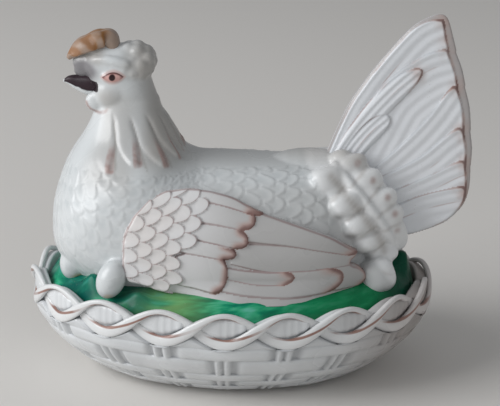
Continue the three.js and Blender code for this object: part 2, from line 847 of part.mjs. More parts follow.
// A fluffed roll of feathers down one side of the rump, drawn in between its lobes. The
// columns of its path are back, out and up in body sizes, and the roll's size there.
const lobesPerRoll = 5;
const saddleShares = [
  [0.595, 0.203, 0.9, 0.95],
  [0.645, 0.35, 0.78, 1.2],
  [0.722, 0.52, 0.62, 1],
  [0.796, 0.54, 0.43, 0.92],
  [0.862, 0.49, 0.27, 0.92],
  [0.93, 0.42, 0.02, 1.05],
  [0.965, 0.39, -0.19, 0.9],
];
const covertShares = [
  [0.72, 0.1, 1, 0.75],
  [0.78, 0.18, 0.9, 0.85],
  [0.85, 0.25, 0.73, 0.9],
  [0.925, 0.29, 0.58, 0.88],
  [0.985, 0.29, 0.42, 0.86],
  [1.025, 0.24, 0.25, 0.84],
  [1.035, 0.2, 0.13, 0.6],
];
function featherRoll(shares, side, grow) {
  const ringsPerLobe = 3;
  const pinch = 0.24;
  const path = new THREE.CatmullRomCurve3(
    shares.map(([back, out, up]) => bodyPlace(back, side * out, up)),
  );
  const sizes = shares.map(([, , , size], i) => [i / (shares.length - 1), size]);
  const count = lobesPerRoll * ringsPerLobe;
  const rings = [];
  for (let i = 0; i <= count; i += 1) {
    const way = i / count;
    const forward = path.getTangent(way);
    const across = new THREE.Vector3().crossVectors(forward, sidewards).normalize();
    const outward = new THREE.Vector3().crossVectors(across, forward).normalize();
    const swell = Math.sin((Math.PI * (i % ringsPerLobe)) / ringsPerLobe);
    const end = i === 0 || i === count ? pinch * 2 : 1;
    const radius = rollLobe * along(sizes, way, 1) * (1 - pinch + pinch * swell) * end + grow;
    rings.push(roundRing(path.getPoint(way), across, radius, outward, radius * 0.9, 8));
  }
  return skin(rings);
}

// A plump tuft of feathers over the hen's tucked-in leg, leaning back over it. The places
// are forward from the bend line in breast reaches, out from the middle in body half
// widths, and up from the edge of the nest in its own heights.
const tuftShares = { front: [0.685, 0.42, 0.88], side: [0.44, 0.99, 0.76] };
function legTuft(place, side, grow) {
  const lean = place === 'side' ? tuftLean : 0;
  const [forward, out, up] = tuftShares[place];
  const centre = new THREE.Vector3(
    napeX - breastReach * forward,
    side * henHalfWidth * out,
    sitHeight + tuftHeight * up,
  );
  const radii = new THREE.Vector3(
    tuftBreadth / 2 + grow,
    tuftBreadth / 2 + grow,
    tuftHeight / 2 + grow,
  );
  return egg(centre, radii, lean, 10);
}

// Cuts a piece back from the pieces that it is laid against
function cutBack(solid, ...others) {
  return others.reduce((rest, other) => rest.subtract(other), solid);
}

const body = henShape(luteGap);
const nestTop = belowNest(luteGap);
const head = henHead(0);
const headCut = henHead(luteGap);

addPiece('basket_bowl', basketBowl(), basketWhite);
addPiece('rim_strand_1', rimStrand(0), basketWhite);
addPiece('rim_strand_2', rimStrand(Math.PI), basketWhite);
addPiece('nest_cover', nestCover(), nestGreen);
addPiece('hen_body', henBody(), creamWhite);
addPiece('hen_head', head, creamWhite);
addPiece('beak', cutBack(beak(0), headCut), beakBlack);
addPiece('comb', cutBack(comb(0), headCut), combTan);
addPiece('crest', cutBack(crest(), headCut, comb(luteGap)), creamWhite);
addPiece('tail_fan', cutBack(tailFan(0), body), creamWhite);

for (const [side, label] of [[-1, 'left'], [1, 'right']]) {
  const saddle = featherRoll(saddleShares, side, 0);
  const saddleCut = featherRoll(saddleShares, side, luteGap);
  const coverts = featherRoll(covertShares, side, 0);
  const frontTuft = legTuft('front', side, 0);
  const sideTuft = legTuft('side', side, 0);
  const sideTuftCut = legTuft('side', side, luteGap);
  const tailCut = tailFan(luteGap);
  addPiece(`${label}_wattle`, cutBack(wattle(side), headCut, body, beak(luteGap)), combTan);
  addPiece(`${label}_saddle_feathers`, cutBack(saddle, body, nestTop, tailCut), creamWhite);
  addPiece(`${label}_tail_coverts`, cutBack(coverts, body, saddleCut, tailCut), creamWhite);
  addPiece(`${label}_wing`, cutBack(wing(side), body, nestTop, saddleCut, sideTuftCut), wingWhite);
  addPiece(`${label}_front_tuft`, cutBack(frontTuft, body, nestTop), creamWhite);
  addPiece(`${label}_side_tuft`, cutBack(sideTuft, body, nestTop), creamWhite);
}

export default group;
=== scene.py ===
import bpy
import numpy as np
from mathutils import Matrix, Vector
from numpy import arange, array, clip, concatenate, cos, exp, hypot, interp, linspace, pi, sin, stack, where


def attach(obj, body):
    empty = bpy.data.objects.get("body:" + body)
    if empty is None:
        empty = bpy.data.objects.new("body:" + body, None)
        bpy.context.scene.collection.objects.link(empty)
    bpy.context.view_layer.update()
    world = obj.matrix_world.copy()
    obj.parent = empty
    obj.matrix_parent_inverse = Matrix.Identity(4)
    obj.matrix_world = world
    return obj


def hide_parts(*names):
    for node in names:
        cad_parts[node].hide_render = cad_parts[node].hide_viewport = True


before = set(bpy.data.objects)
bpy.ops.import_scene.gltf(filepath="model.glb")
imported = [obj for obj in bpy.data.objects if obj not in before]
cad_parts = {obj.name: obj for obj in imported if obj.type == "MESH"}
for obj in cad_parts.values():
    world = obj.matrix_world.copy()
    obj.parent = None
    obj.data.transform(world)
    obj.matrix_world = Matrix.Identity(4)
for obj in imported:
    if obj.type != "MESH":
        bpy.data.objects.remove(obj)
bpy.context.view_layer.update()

# The basket is the dish itself: an oval bowl pressed into a mould of plaited willow, with
# flat bands passing over and under pairs of upright stakes, under a cool white glaze.
# Lengths are millimetres here and become metres when a mesh is made.

rim_half = array([97.8, 69.3])
rim_height = 43.0
scallops = 18
scallop_phase = 0.89
swing_up, swing_down = 7.3, 6.9


def linked(name, data):
    made = bpy.data.objects.new(name, data)
    bpy.context.scene.collection.objects.link(made)
    return made


def raw_mesh(name, points, faces):
    mesh = bpy.data.meshes.new(name)
    mesh.from_pydata((points / 1000).tolist(), [], faces)
    return linked(name, mesh)


def closed_mesh(name, points, quads, caps=()):
    """A closed smooth mesh from points in millimetres, its faces turned outward."""
    a, b, c, d = (points[quads[:, i]] for i in range(4))
    faces = [*quads.tolist(), *caps]
    if (a * (np.cross(b, c) + np.cross(c, d))).sum() < 0:
        faces = [face[::-1] for face in faces]
    piece = raw_mesh(name, points, faces)
    piece.data.shade_smooth()
    return piece


def closed_rings(rings, joined=False):
    """Points, quads and fans over a row of rings, its ends closed over their middles. A
    joined row runs on from its last ring to its first one and needs no fans."""
    rings = np.asarray(rings, float)
    count, around = rings.shape[:2]
    i, j = np.meshgrid(arange(count if joined else count - 1), arange(around), indexing="ij")
    k, up = (j + 1) % around, (i + 1) % count
    quads = stack([i * around + j, i * around + k, up * around + k, up * around + j], -1)
    points, fans = rings.reshape(-1, 3), []
    if not joined:
        points = concatenate([points, rings[:1].mean(1), rings[-1:].mean(1)])
        first, last = count * around, (count - 1) * around
        for j in range(around):
            k = (j + 1) % around
            fans += [(first, k, j), (first + 1, last + j, last + k)]
    return points, quads.reshape(-1, 4), fans


def skin(name, rings, joined=False):
    return closed_mesh(name, *closed_rings(rings, joined))


def note(piece, **values):
    """Keeps a value for each point of a piece, for its glaze to read. The middles of the
    ends come after the rings' points and keep 0."""
    for name, value in zip(values, np.broadcast_arrays(*values.values())):
        whole = np.zeros(len(piece.data.vertices), np.float32)
        whole[:value.size] = value.ravel()
        piece.data.attributes.new(name, "FLOAT", "POINT").data.foreach_set("value", whole)


def seat(piece, body, slot, glaze, *nodes):
    """Puts a finished piece on the part of the model that carries it."""
    piece.data.materials.clear()
    piece.data.materials.append(glaze)
    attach(piece, body)
    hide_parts(*nodes)


class Brush:
    """A value on its way through a glaze. Sums on it add Math nodes."""

    def __init__(self, tree, socket=None):
        self.tree, self.socket = tree, socket

    def node(self, kind, settings=None, inputs=None, output=0):
        made = self.tree.nodes.new(kind)
        for key, value in (settings or {}).items():
            if key == "stops":
                stops = made.color_ramp.elements
                stops.remove(stops[1])
                for number, (place, colour) in enumerate(value):
                    stop = stops.new(place) if number else stops[0]
                    stop.position, stop.color = place, (*colour, 1)
            else:
                setattr(made, key, value)
        for key, value in (inputs or {}).items():
            if isinstance(value, Brush):
                self.tree.links.new(value.socket, made.inputs[key])
            else:
                made.inputs[key].default_value = value
        return Brush(self.tree, made.outputs[output]) if made.outputs else None

    def sum(self, operation, *values):
        return self.node("ShaderNodeMath", {"operation": operation}, dict(enumerate(values)))

    __add__ = __radd__ = lambda self, other: self.sum("ADD", self, other)
    __mul__ = __rmul__ = lambda self, other: self.sum("MULTIPLY", self, other)
    __sub__ = lambda self, other: self.sum("SUBTRACT", self, other)
    __rsub__ = lambda self, other: self.sum("SUBTRACT", other, self)

    def size(self):
        return self.sum("ABSOLUTE", self)

    def within(self, low, high):
        """0 below low and 1 above high, smooth between them; turned round if high < low."""
        ends = {1: low, 2: high} if low < high else {1: high, 2: low, 3: 1.0, 4: 0.0}
        return self.node("ShaderNodeMapRange", {"interpolation_type": "SMOOTHSTEP"}, {0: self, **ends})

    def kept(self, name):
        return self.node("ShaderNodeAttribute", {"attribute_name": name}, output="Fac")

    def place(self):
        return self.node("ShaderNodeTexCoord", output="Object")

    def axis(self, index):
        return self.node("ShaderNodeSeparateXYZ", {}, {0: self.place()}, index)

    def cloud(self, scale, detail=2.0, place=None):
        """Soft noise about 0.5, its scale in lumps to a metre."""
        return self.node("ShaderNodeTexNoise", {}, {
            "Vector": place or self.place(), "Scale": scale, "Detail": detail})

    def over(self, under, colour):
        """A colour laid over another one by this much."""
        ends = [(*end, 1) if isinstance(end, tuple) else end for end in (under, colour)]
        return self.node("ShaderNodeMix", {"data_type": "RGBA"}, {0: self, 6: ends[0], 7: ends[1]}, 2)


def painted(paint, *layers):
    """Colours laid over the paint in turn, each by its own share."""
    for share, colour in layers:
        paint = share.over(paint, colour)
    return paint


def glaze(name, painter, shine=0.27, coat=0.12, ripple=0.13, gloss=0.4):
    """A fired glaze over soft ripples, with a few dark pinholes where some have gathered.
    The painter makes its colour from an empty brush."""
    made = bpy.data.materials.new(name)
    made.use_nodes = True
    tree = made.node_tree
    tree.nodes.clear()
    brush = Brush(tree)
    colour = painter(brush)
    pinhole = brush.node("ShaderNodeTexVoronoi", {}, {"Vector": brush.place(), "Scale": 420.0}, "Distance")
    pinhole = pinhole.within(0.14, 0.02) * brush.cloud(60.0).within(0.52, 0.66)
    colour = (pinhole * 0.35).over(colour, (0.3, 0.27, 0.24))
    height = brush.cloud(130.0, 3.0) * 0.6 + brush.cloud(620.0) * 0.05 - pinhole * 0.12
    bump = brush.node("ShaderNodeBump", {}, {"Strength": ripple, "Distance": 0.0011, "Height": height})
    rough = brush.cloud(45.0) * 0.16 + (shine - 0.07)
    shader = brush.node("ShaderNodeBsdfPrincipled", {}, {
        "Base Color": colour, "Roughness": rough, "Normal": bump, "IOR": 1.52,
        "Specular IOR Level": gloss, "Coat Weight": coat, "Coat Roughness": 0.14})
    brush.node("ShaderNodeOutputMaterial", {}, {"Surface": shader})
    return made


def white_ware(brush, body=(0.61, 0.635, 0.645), pooled_and_shaded=(0.44, 0.475, 0.485)):
    """Cool white glaze, a little greyer and bluer in recesses: glaze that has run into them, with painted
    shadow there as well.
    """
    drift = brush.cloud(16.0).within(0.35, 0.7) * 0.35
    return (brush.kept("hollow") * 0.75 + drift * 0.5).over(body, pooled_and_shaded)


fine = linspace(0, 2 * pi, 6001)
rim_run = concatenate([[0], np.cumsum(hypot(
    *np.diff(rim_half[:, None] * array([cos(fine), sin(fine)]), axis=1)))])


def rim_angles(steps):
    """Angles that cut the rim into equal lengths, from one crossing of the strands on."""
    share = (arange(steps) / steps + scallop_phase / scallops) % 1
    return interp(share * rim_run[-1], rim_run, fine)


def level_ring(angles, inset, height, drawn=0.0):
    """An oval ring inside the rim's oval, drawn in further at its two ends."""
    return stack([(rim_half[0] - inset - drawn) * cos(angles), (rim_half[1] - inset) * sin(angles),
                  height + 0 * angles], -1)


def limit(value):
    return clip(value, 0, 1)


def soft_step(value, low, high):
    way = limit((value - low) / (high - low))
    return way * way * (3 - 2 * way)


column_steps = 26
basket_angles = rim_angles(scallops * column_steps)
column, across = np.divmod(arange(scallops * column_steps), column_steps)
across = across / column_steps - 0.5
stakes = sum(limit(1 - ((across - middle) / 0.062) ** 2) ** 0.6 for middle in (-0.09, 0.07)) * 0.92
weave_foot, weave_top, weave_depth = 2.6, 34.0, 2.1
row_tops = weave_foot + (weave_top - weave_foot) * array([1, 0.778, 0.47, 0.3, 0.14, 0])


def weave_at(row, within):
    """Height of the weave round one ring, from 0 in its grooves to 1 on its bands."""
    over = (column + row) % 2 == 0
    pillow = 1 - 0.42 * abs(2 * within - 1) ** 4
    tuck = where(over, 1.0, soft_step(-across, 0.14, 0.3) + soft_step(across, 0.2, 0.34))
    arch = where(over, 0.2 * cos(pi * across) ** 2, 0)
    band = pillow * tuck * (0.8 + arch)
    gap = limit(0.5 + (band - stakes) / 0.24)
    return stakes * (1 - gap) + band * gap + 0.12 * gap * (1 - gap)


def strand_breadth(rise):
    """A strand is narrow over the top of a loop and broad along the bottom of one."""
    return interp(rise, [-1, 0, 1], [5.4, 5.4, 2.3])


swings = np.abs(sin(pi * (across + 0.5)))
half_strand = strand_breadth(-swings) / 2 * hypot(1, 0.75 * (1 - swings))
twist_foot = rim_height - swing_down * swings - half_strand - 0.3
gap_foot = rim_height - swing_down * swings + half_strand
lip_top = rim_height + 1.5 + (swing_up - 2.7) * swings
lip_front, lip_thick = 3.15, 2.3
lip_back = lip_front + lip_thick
gallery_height, gallery_edge = 38.4, lip_back + 4
foot_inset, foot_drawn = 30, 6
# each ring keeps how much its glaze greys: painted shade in the weave's grooves and under the gallery, with
# some pooled glaze
rings, hollows = [], []


def add_ring(inset, height, hollow=0.0, drawn=0.0):
    rings.append(level_ring(basket_angles, inset, height, drawn))
    hollows.append(hollow + 0 * basket_angles)


def wall_ring(wall_height, inside, hollow=0.0, height=None):
    """A ring some way inside the wall's outer face, as the face runs at wall_height."""
    share = limit(1 - wall_height / rim_height) ** 2.2
    add_ring(foot_inset * share - 2 + inside, wall_height if height is None else height,
             hollow, foot_drawn * share)


wall_ring(0, 2 * weave_depth + 6)
wall_ring(0, 2 * weave_depth + 0.4)
wall_ring(0, 2 * weave_depth - 0.5, 0.3, 0.6)
wall_ring(weave_foot, weave_depth, 0.9, weave_foot - 0.4)
for row, steps in zip((4, 3, 2, 1, 0), (20, 16, 20, 26, 26)):
    low, high = row_tops[row + 1], row_tops[row]
    for within in (arange(steps) + 0.5) / steps:
        relief = weave_at(row, within)
        wall_ring(low + (high - low) * within, weave_depth * (1 - relief), 1 - relief)
for share in (0.25, 0.6, 0.9):
    wall_ring(weave_top, 0.4 - 0.9 * share, 0.2 + 0.3 * share, weave_top + (twist_foot - weave_top) * share)
add_ring(lip_front, twist_foot, 0.9)
open_gap = lip_top - gap_foot
for share in linspace(0.04, 0.97, 18):
    height = twist_foot + (lip_top - twist_foot) * share
    up_gap = limit((height - gap_foot) / clip(open_gap, 0.1, None))
    crown = limit(open_gap / 3.6) * (1 - 0.45 * np.abs(2 * up_gap - 1) ** 6)
    rib = sum(limit(1 - ((across - middle) / 0.045) ** 2) for middle in (-0.02, 0.1, 0.22))
    add_ring(lip_front - 3.5 * crown + 0.3 * rib * crown, height, 0.35 - 0.35 * crown + 0.25 * rib)
for inset, height, hollow in (
        (lip_front + 0.1, lip_top, 0.3), (lip_front + 0.7, lip_top + 0.35, 0.1),
        (lip_back - 0.5, lip_top + 0.2, 0.1), (lip_back, lip_top - 0.5, 0.2),
        (lip_back, gallery_height + 0.6, 0.5), (lip_back + 0.5, gallery_height, 0.6),
        (gallery_edge - 0.5, gallery_height, 0.1), (gallery_edge, gallery_height - 0.5, 0.1),
        (gallery_edge, gallery_height - 2.2, 0.2)):
    add_ring(inset, height, hollow)
bowl_top, bowl_floor, wall_thick = gallery_height - 6.4, 6, 6.5
wall_ring(bowl_top, wall_thick, 0.3)
for step in arange(1, 12) / 12:
    height = bowl_floor + (bowl_top - bowl_floor) * (1 - step) ** 1.5
    wall_ring(height, wall_thick + 6 * step ** 8, 0.1)
for share in (0.3, 0.6, 0.85):
    rings.append(level_ring(basket_angles, 0, bowl_floor) * [1 - share, 1 - share, 1] * [0.55, 0.45, 1])
    hollows.append(0 * basket_angles)

basket = skin("basket", rings)
note(basket, hollow=hollows)


def basket_glaze(brush):
    # painted shade on the right side, which faces away from the light
    right_side_shade = brush.axis(0).within(0.035, 0.1) * (brush.cloud(24.0) * 0.5 + 0.6)
    bare_foot = brush.axis(2).within(0.0012, 0.0003)
    return painted(white_ware(brush, (0.7, 0.72, 0.735), (0.36, 0.375, 0.39)),
                   (right_side_shade, (0.26, 0.22, 0.2)), (bare_foot, (0.52, 0.47, 0.4)))


seat(basket, "basket", "basket_glaze", glaze("basket glaze", basket_glaze), "basket_bowl")

# The rim is two flat strands of clay twisted round each other and luted to the wall. The
# one that climbs lies outside. A brush line runs along the edge of each almond-shaped gap,
# crossing the climbing strand from its upper edge to its lower one.

strand_thick = 2.7


def turns(count):
    return linspace(0, 2 * pi, count, endpoint=False)


def blunted(value, power):
    """The value's size raised to a power, its sign kept: it squares a circle's corners."""
    return np.sign(value) * np.abs(value) ** power


def unit(vectors):
    return vectors / np.linalg.norm(vectors, axis=-1, keepdims=True)


def rim_strand(name, turn):
    steps, sides = 16, 16
    angles = rim_angles(scallops * steps)
    phase = turn + pi * arange(scallops * steps) / steps
    rise = sin(phase)
    outward = unit(stack([rim_half[1] * cos(angles), rim_half[0] * sin(angles), 0 * angles], -1))
    middles = level_ring(angles, 0, 0) + outward * (1.5 * cos(phase))[:, None]
    middles[:, 2] = rim_height + where(rise > 0, swing_up, swing_down) * rise
    upward = unit(np.cross(outward, unit(np.roll(middles, -1, 0) - np.roll(middles, 1, 0))))
    upward *= np.sign(upward[:, 2:])
    high = blunted(cos(turns(sides)), 0.7)
    deep = blunted(sin(turns(sides)), 0.8) * strand_thick / 2
    half = strand_breadth(rise)[:, None] / 2 * high
    rings = middles[:, None] + half[..., None] * upward[:, None] + deep[None, :, None] * outward[:, None]
    piece = skin(name, rings, joined=True)
    note(piece, across=high, face=deep > -0.4, climb=cos(phase)[:, None], rise=rise[:, None], hollow=0.0)
    return piece


def strand_glaze(brush):
    rise, climb = brush.kept("rise"), brush.kept("climb")
    white = white_ware(brush, (0.7, 0.71, 0.715), (0.46, 0.48, 0.49))
    # painted shade on the right side, which faces away from the light
    white = (brush.axis(0).within(0.045, 0.1) * 0.5).over(white, (0.4, 0.32, 0.29))
    off = (brush.kept("across") + rise * 0.98).size()
    wide = climb.within(-0.75, 0.5) * 0.08 + 0.05 + brush.cloud(70.0) * 0.12 + rise.within(0.3, 1.0) * 0.2
    line = (wide - off).within(-0.14, 0.06) * brush.kept("face") * climb.within(-0.97, -0.5)
    line = line * brush.cloud(55.0).within(0.25, 0.5)
    blush = brush.cloud(28.0).over((0.21, 0.095, 0.075), (0.31, 0.175, 0.135))
    return (line * 0.95).over(white, blush)


strand_white = glaze("rim strand glaze", strand_glaze)
for number, turn in ((1, 0.0), (2, pi)):
    strand = rim_strand(f"twisted_strand_{number}", turn)
    seat(strand, "basket", "basket_glaze", strand_white, f"rim_strand_{number}")

# The nest is the cover that closes the basket: a low mound with an upright edge standing
# on the gallery and a flange below it, open into the hollow hen, brushed over with green.

nest_inset, nest_edge, nest_rise, mound_reach = 6.45, 44.0, 12.0, 20
nest_seat = gallery_height + 0.3
flange_in, flange_out, flange_foot = 13.95, 10.45, 32.9
hole_half, hole_back, hole_top, hole_foot = (68, 34), 7, 55.6, 51


def mound_height(inside):
    return nest_edge + nest_rise * (1 - exp(-inside / 6.2))


nest_angles = rim_angles(300)
lumps = sum(sin(nest_angles * waves + start) for waves, start in ((13, 0.6), (21, 2.1), (34, 0))) / 3
heaves = [(-67, 38, 7, 6), (-45, 54, 5.5, 6), (-84, 14, 3, 6), (88, 0, 9, 9)]
# each ring keeps how much the green darkens at the mound's edges and in its dips: painted shade, with some
# pooled glaze
nest_rings, runs, nest_hollow = [], [], []


def nest_ring(ring, run, hollow=0.0):
    """Adds a ring. On the mound it is heaved up where tufts and rump press into it."""
    if 0 <= run < mound_reach:
        for x, y, high, wide in heaves:
            off = hypot(ring[:, 0] - x, np.abs(ring[:, 1]) - y)
            ring[:, 2] += high * exp(-(off / wide) ** 2) * min(run / 4, 1)
    nest_rings.append(ring)
    runs.append([run])
    nest_hollow.append(hollow + 0 * nest_angles)


nest_ring(level_ring(nest_angles, nest_inset + 0.6, nest_seat), -6, 1)
nest_ring(level_ring(nest_angles, nest_inset, nest_seat + 0.7), -5, 1)
nest_ring(level_ring(nest_angles, nest_inset, nest_seat + 2.8), -3, 0.8)
for inside in concatenate([linspace(0, 6, 26) ** 1.6 / 1.46, linspace(12.8, mound_reach, 10)]):
    heave = lumps * 0.3 * exp(-((inside - 5) / 4.5) ** 2)
    ripple = 0.22 * sin(inside * 2.6 + lumps * 5) * exp(-(inside / 3.4) ** 2)
    nest_ring(level_ring(nest_angles, nest_inset + inside, mound_height(inside) + heave + ripple - 0.25),
              inside, 0.5 * exp(-inside / 3) - 0.3 * lumps)
for grow, height, run in (
        (1, hole_top, 30), (0, hole_top - 0.8, 31), (0, hole_foot + 0.6, 34), (1, hole_foot, 35)):
    wide, deep = (hole_half[0] + grow) * cos(nest_angles), (hole_half[1] + grow) * sin(nest_angles)
    nest_ring(stack([wide - hole_back, deep, height + 0 * nest_angles], -1), run, 1)
for inset, height in (
        (flange_in + 5, hole_foot), (flange_in + 1.5, hole_foot - 3), (flange_in, nest_edge),
        (flange_in, flange_foot + 0.5), (flange_in - 0.5, flange_foot), (flange_out + 0.5, flange_foot),
        (flange_out, flange_foot + 0.5), (flange_out, nest_seat - 0.5), (flange_out - 0.45, nest_seat)):
    nest_ring(level_ring(nest_angles, inset, height), 40, 1)
nest = skin("nest", nest_rings, joined=True)
east_and_on = np.abs((nest_angles / pi + 1) % 2 - 1) * 6
note(nest, brushed=runs, hollow=nest_hollow, around=east_and_on)


def nest_glaze(brush):
    run, east = brush.kept("brushed"), brush.axis(0)
    turn = brush.kept("around") + run * 0.05
    streaks = brush.node("ShaderNodeCombineXYZ", {}, {0: turn * 4.2, 1: run * 0.36})
    streak, broad = brush.cloud(1.0, 2.0, streaks), brush.cloud(0.35, 1.0, streaks)
    green = brush.node("ShaderNodeValToRGB", {"stops": [
        (0.0, (0.002, 0.1, 0.065)), (0.36, (0.004, 0.175, 0.1)), (0.5, (0.012, 0.27, 0.14)),
        (0.62, (0.04, 0.36, 0.19)), (0.85, (0.11, 0.44, 0.32))]},
        {0: streak * 1.5 - 0.25 - brush.kept("hollow") * 0.12})
    front = east.within(-0.02, -0.05)
    return painted(
        green,
        (east.within(0.0, 0.05) * 0.8, (0.006, 0.18, 0.06)),
        ((east + 0.031).size().within(0.03, 0.0) * broad.within(0.3, 0.55) * 0.7, (0.23, 0.4, 0.13)),
        # painted shade at the far right end of the mound, behind the rump
        (east.within(0.068, 0.082) * 0.85, (0.003, 0.045, 0.03)),
        (front * 0.75 * brush.cloud(60.0).within(0.35, 0.6), (0.002, 0.085, 0.075)),
        (front * streak.within(0.56, 0.7) * 0.5, (0.03, 0.27, 0.25)),
        (run.within(1.3, -0.4) * east.within(-0.05, -0.075) * streak.within(0.45, 0.62) * 0.6,
         (0.4, 0.6, 0.5)),
        (run.within(28.0, 33.0), (0.6, 0.62, 0.61)))


seat(nest, "lid", "nest_glaze", glaze(
    "nest green glaze", nest_glaze, shine=0.26, coat=0.04, ripple=0.2, gloss=0.12), "nest_cover")

# The hen is hollow and moulded in one with her neck, head, crest, leg tufts and the two
# fluffed rolls of feathers over her rump. The clay is soft-edged under the glaze, with low
# relief: long hackle feathers down the neck and rows of small ones over breast and flanks.

body_half, body_high, body_middle, body_long = 46.0, 48.2, 60.2, 90.5
nape = array([-15.0, 0.0, 118.0])
nape_gap, breast_reach, throat_reach, neck_half, neck_rise = 13.2, 92, 58.3, 21.5, 18
feather_pitch, feather_width = 6.6, 8.6
rump_table = [(1, .06, .03), (.975, .26, .17), (.92, .52, .35), (.84, .75, .52), (.74, .91, .67),
              (.6, .965, .84), (.37, .985, .967), (.17, .998, .995)]
breast_table = [(0, 1.152, .72, 1), (.22, 1.065, .727, 1), (.42, 1.007, .77, .98), (.57, .996, .81, .945),
                (.7, .893, .856, .87), (.81, .79, .909, .74), (.9, .714, .955, .62)]
neck_table = [(0, 1, 1, 1), (.4, .936, 1.326, .79), (.73, .9, 1.54, .68), (1, .875, 1.652, .605)]
head_table = [(0, .5, .5, .98), (.2, .56, .43, 1), (.42, .68, .37, 1), (.62, .76, .39, .92),
              (.8, .68, .36, .76), (.93, .48, .24, .52), (1, .22, .05, .16)]
head_middle, head_seat = -51.4, 136.3
head_long, head_high, head_half = 29, 26.5, 13.3


def smooth_rows(rows, steps):
    """More rows between the given ones, on smooth curves through them."""
    rows = np.asarray(rows, float)
    ends = concatenate([2 * rows[:1] - rows[1:2], rows, 2 * rows[-1:] - rows[-2:-1]])
    out = []
    for a, b, c, d in zip(ends, ends[1:], ends[2:], ends[3:]):
        for t in arange(steps) / steps:
            out.append((2 * b + (c - a) * t + (2 * a - 5 * b + 4 * c - d) * t ** 2
                        + (3 * b - a - 3 * c + d) * t ** 3) / 2)
    return array([*out, rows[-1]])


def round_ring(middle, upward, rise, spread, sides=96, power=2.25):
    """A rounded ring across a form, this far up and down from its middle and to its sides."""
    high = rise * blunted(cos(turns(sides)), 2 / power)
    wide = spread * blunted(sin(turns(sides)), 2 / power)
    return np.asarray(middle) + high[:, None] * np.asarray(upward) + wide[:, None] * [0, 1, 0]


def hen_rings(grow, neck_end=1.0, sides=96):
    """Rings from the rump forward, round under the breast and up the neck."""
    rings = []
    for way, high, wide in rump_table:
        rings.append(round_ring((nape[0] + (body_long + grow) * way, 0, body_middle), (0, 0, 1),
                                max(body_high * high + grow, 0.3), max(body_half * wide + grow, 0.3), sides))
    for turn, outer, inner, wide in breast_table:
        away = array([-sin(turn * pi / 2), 0, -cos(turn * pi / 2)])
        near, far = nape_gap * inner - grow, breast_reach * outer + grow
        rings.append(round_ring(nape + away * (near + far) / 2, -away, (far - near) / 2,
                                body_half * wide + grow, sides))
    for way, throat, back, wide in neck_table:
        if way <= neck_end:
            near, far = nape_gap * back - grow, throat_reach * throat + grow
            rings.append(round_ring((nape[0] - (near + far) / 2, 0, nape[2] + neck_rise * way), (1, 0, 0),
                                    (far - near) / 2, neck_half * wide + grow, sides))
    return rings


def lobe(centre, radii, along=(1, 0, 0), over=(0, 0, 1), blunt=1.0):
    """An egg-shaped lump: its long axis, the axis that leans to over, and the third one. It
    is the blunter at its ends and round its middle the smaller blunt is."""
    long = unit(np.asarray(along, float))
    high = unit(np.asarray(over, float) - long * np.dot(over, long))
    deep = np.cross(long, high)
    c, s = blunted(cos(turns(24)), blunt)[:, None], blunted(sin(turns(24)), blunt)[:, None]
    rings = []
    for turn in linspace(0.12, pi - 0.12, 13):
        ring = sin(turn) ** blunt * (radii[1] * c * high + radii[2] * s * deep)
        rings.append(np.asarray(centre) + radii[0] * blunted(cos(turn), blunt) * long + ring)
    return closed_rings(rings)


head_rings = [
    round_ring((head_middle - head_long * (front - back) / 2, 0, head_seat - 1 + head_high * way), (1, 0, 0),
               head_long * (front + back) / 2, head_half * wide, 64)
    for way, front, back, wide in head_table]
lumps_of_hen = [closed_rings(smooth_rows(rings, 5)) for rings in (hen_rings(0.0), head_rings)]

# crown, forehead and the root of the beak, then the crest's knobs and the brows
lumps_of_hen += [lobe(*row) for row in (
    ((-47.5, 0, 151.5), (8.4, 8.6, 9.6)), ((-67.6, 0, 152.4), (10.9, 7.6, 6.6)),
    ((-62.0, 0, 157.5), (11.5, 5.6, 7.5), (1, 0, -0.15)), ((-70.2, 0, 149.2), (7.8, 4.2, 4.6), (1, 0, 0.2)))]
knobs = array([
    (-46.9, 5.5, 159.4), (-41.6, 6, 155.9), (-41.6, 6.5, 151.6), (-49.4, 8.6, 153.8), (-48.9, 10, 149),
    (-54.2, 7.4, 155.4), (-44.9, 9, 152.8), (-45.2, 8.8, 148.6), (-51.5, 4, 159.8), (-42.4, 2, 158.2),
    (-40.6, 1.5, 153.9), (-42.4, 2, 150), (-47, 1, 160.8), (-53.5, 10, 150.6)]) * 0.86 + [-6.9, 0, 21.1]
brow = smooth_rows([(-70, 3.1, 152.9), (-65.5, 7.9, 154.7), (-59, 10.2, 155.1), (-52.5, 10.8, 153.7)], 4)
side_lobes = [(place, (4.3, 4.1, 4.3)) for place in knobs] + [(place, (3.4, 2.6, 2.6)) for place in brow]

# cheek, lower lid and wattle, then the tufts in front of and over the tucked-in leg
side_lobes += [((-58, 7.0, 139.5), (9.2, 9.6, 6.9)), ((-58, 12.2, 147.8), (5.4, 2.6, 2.4)),
               ((-66.0, 6.4, 134.6), (6, 5.2, 3.2), (1, 0, 0.1)),
               ((-76, 20, 57.5), (9.4, 7.6, 7.6), (0.25, 0, 1), (0, 1, 0)),
               ((-56.2, 47, 58.8), (9.8, 6.8, 6.9), (0.4, 0, 1), (0, 1, 0))]
lumps_of_hen += [lobe(np.multiply(centre, (1, side, 1)), *rest)
                 for side in (-1, 1) for centre, *rest in side_lobes]

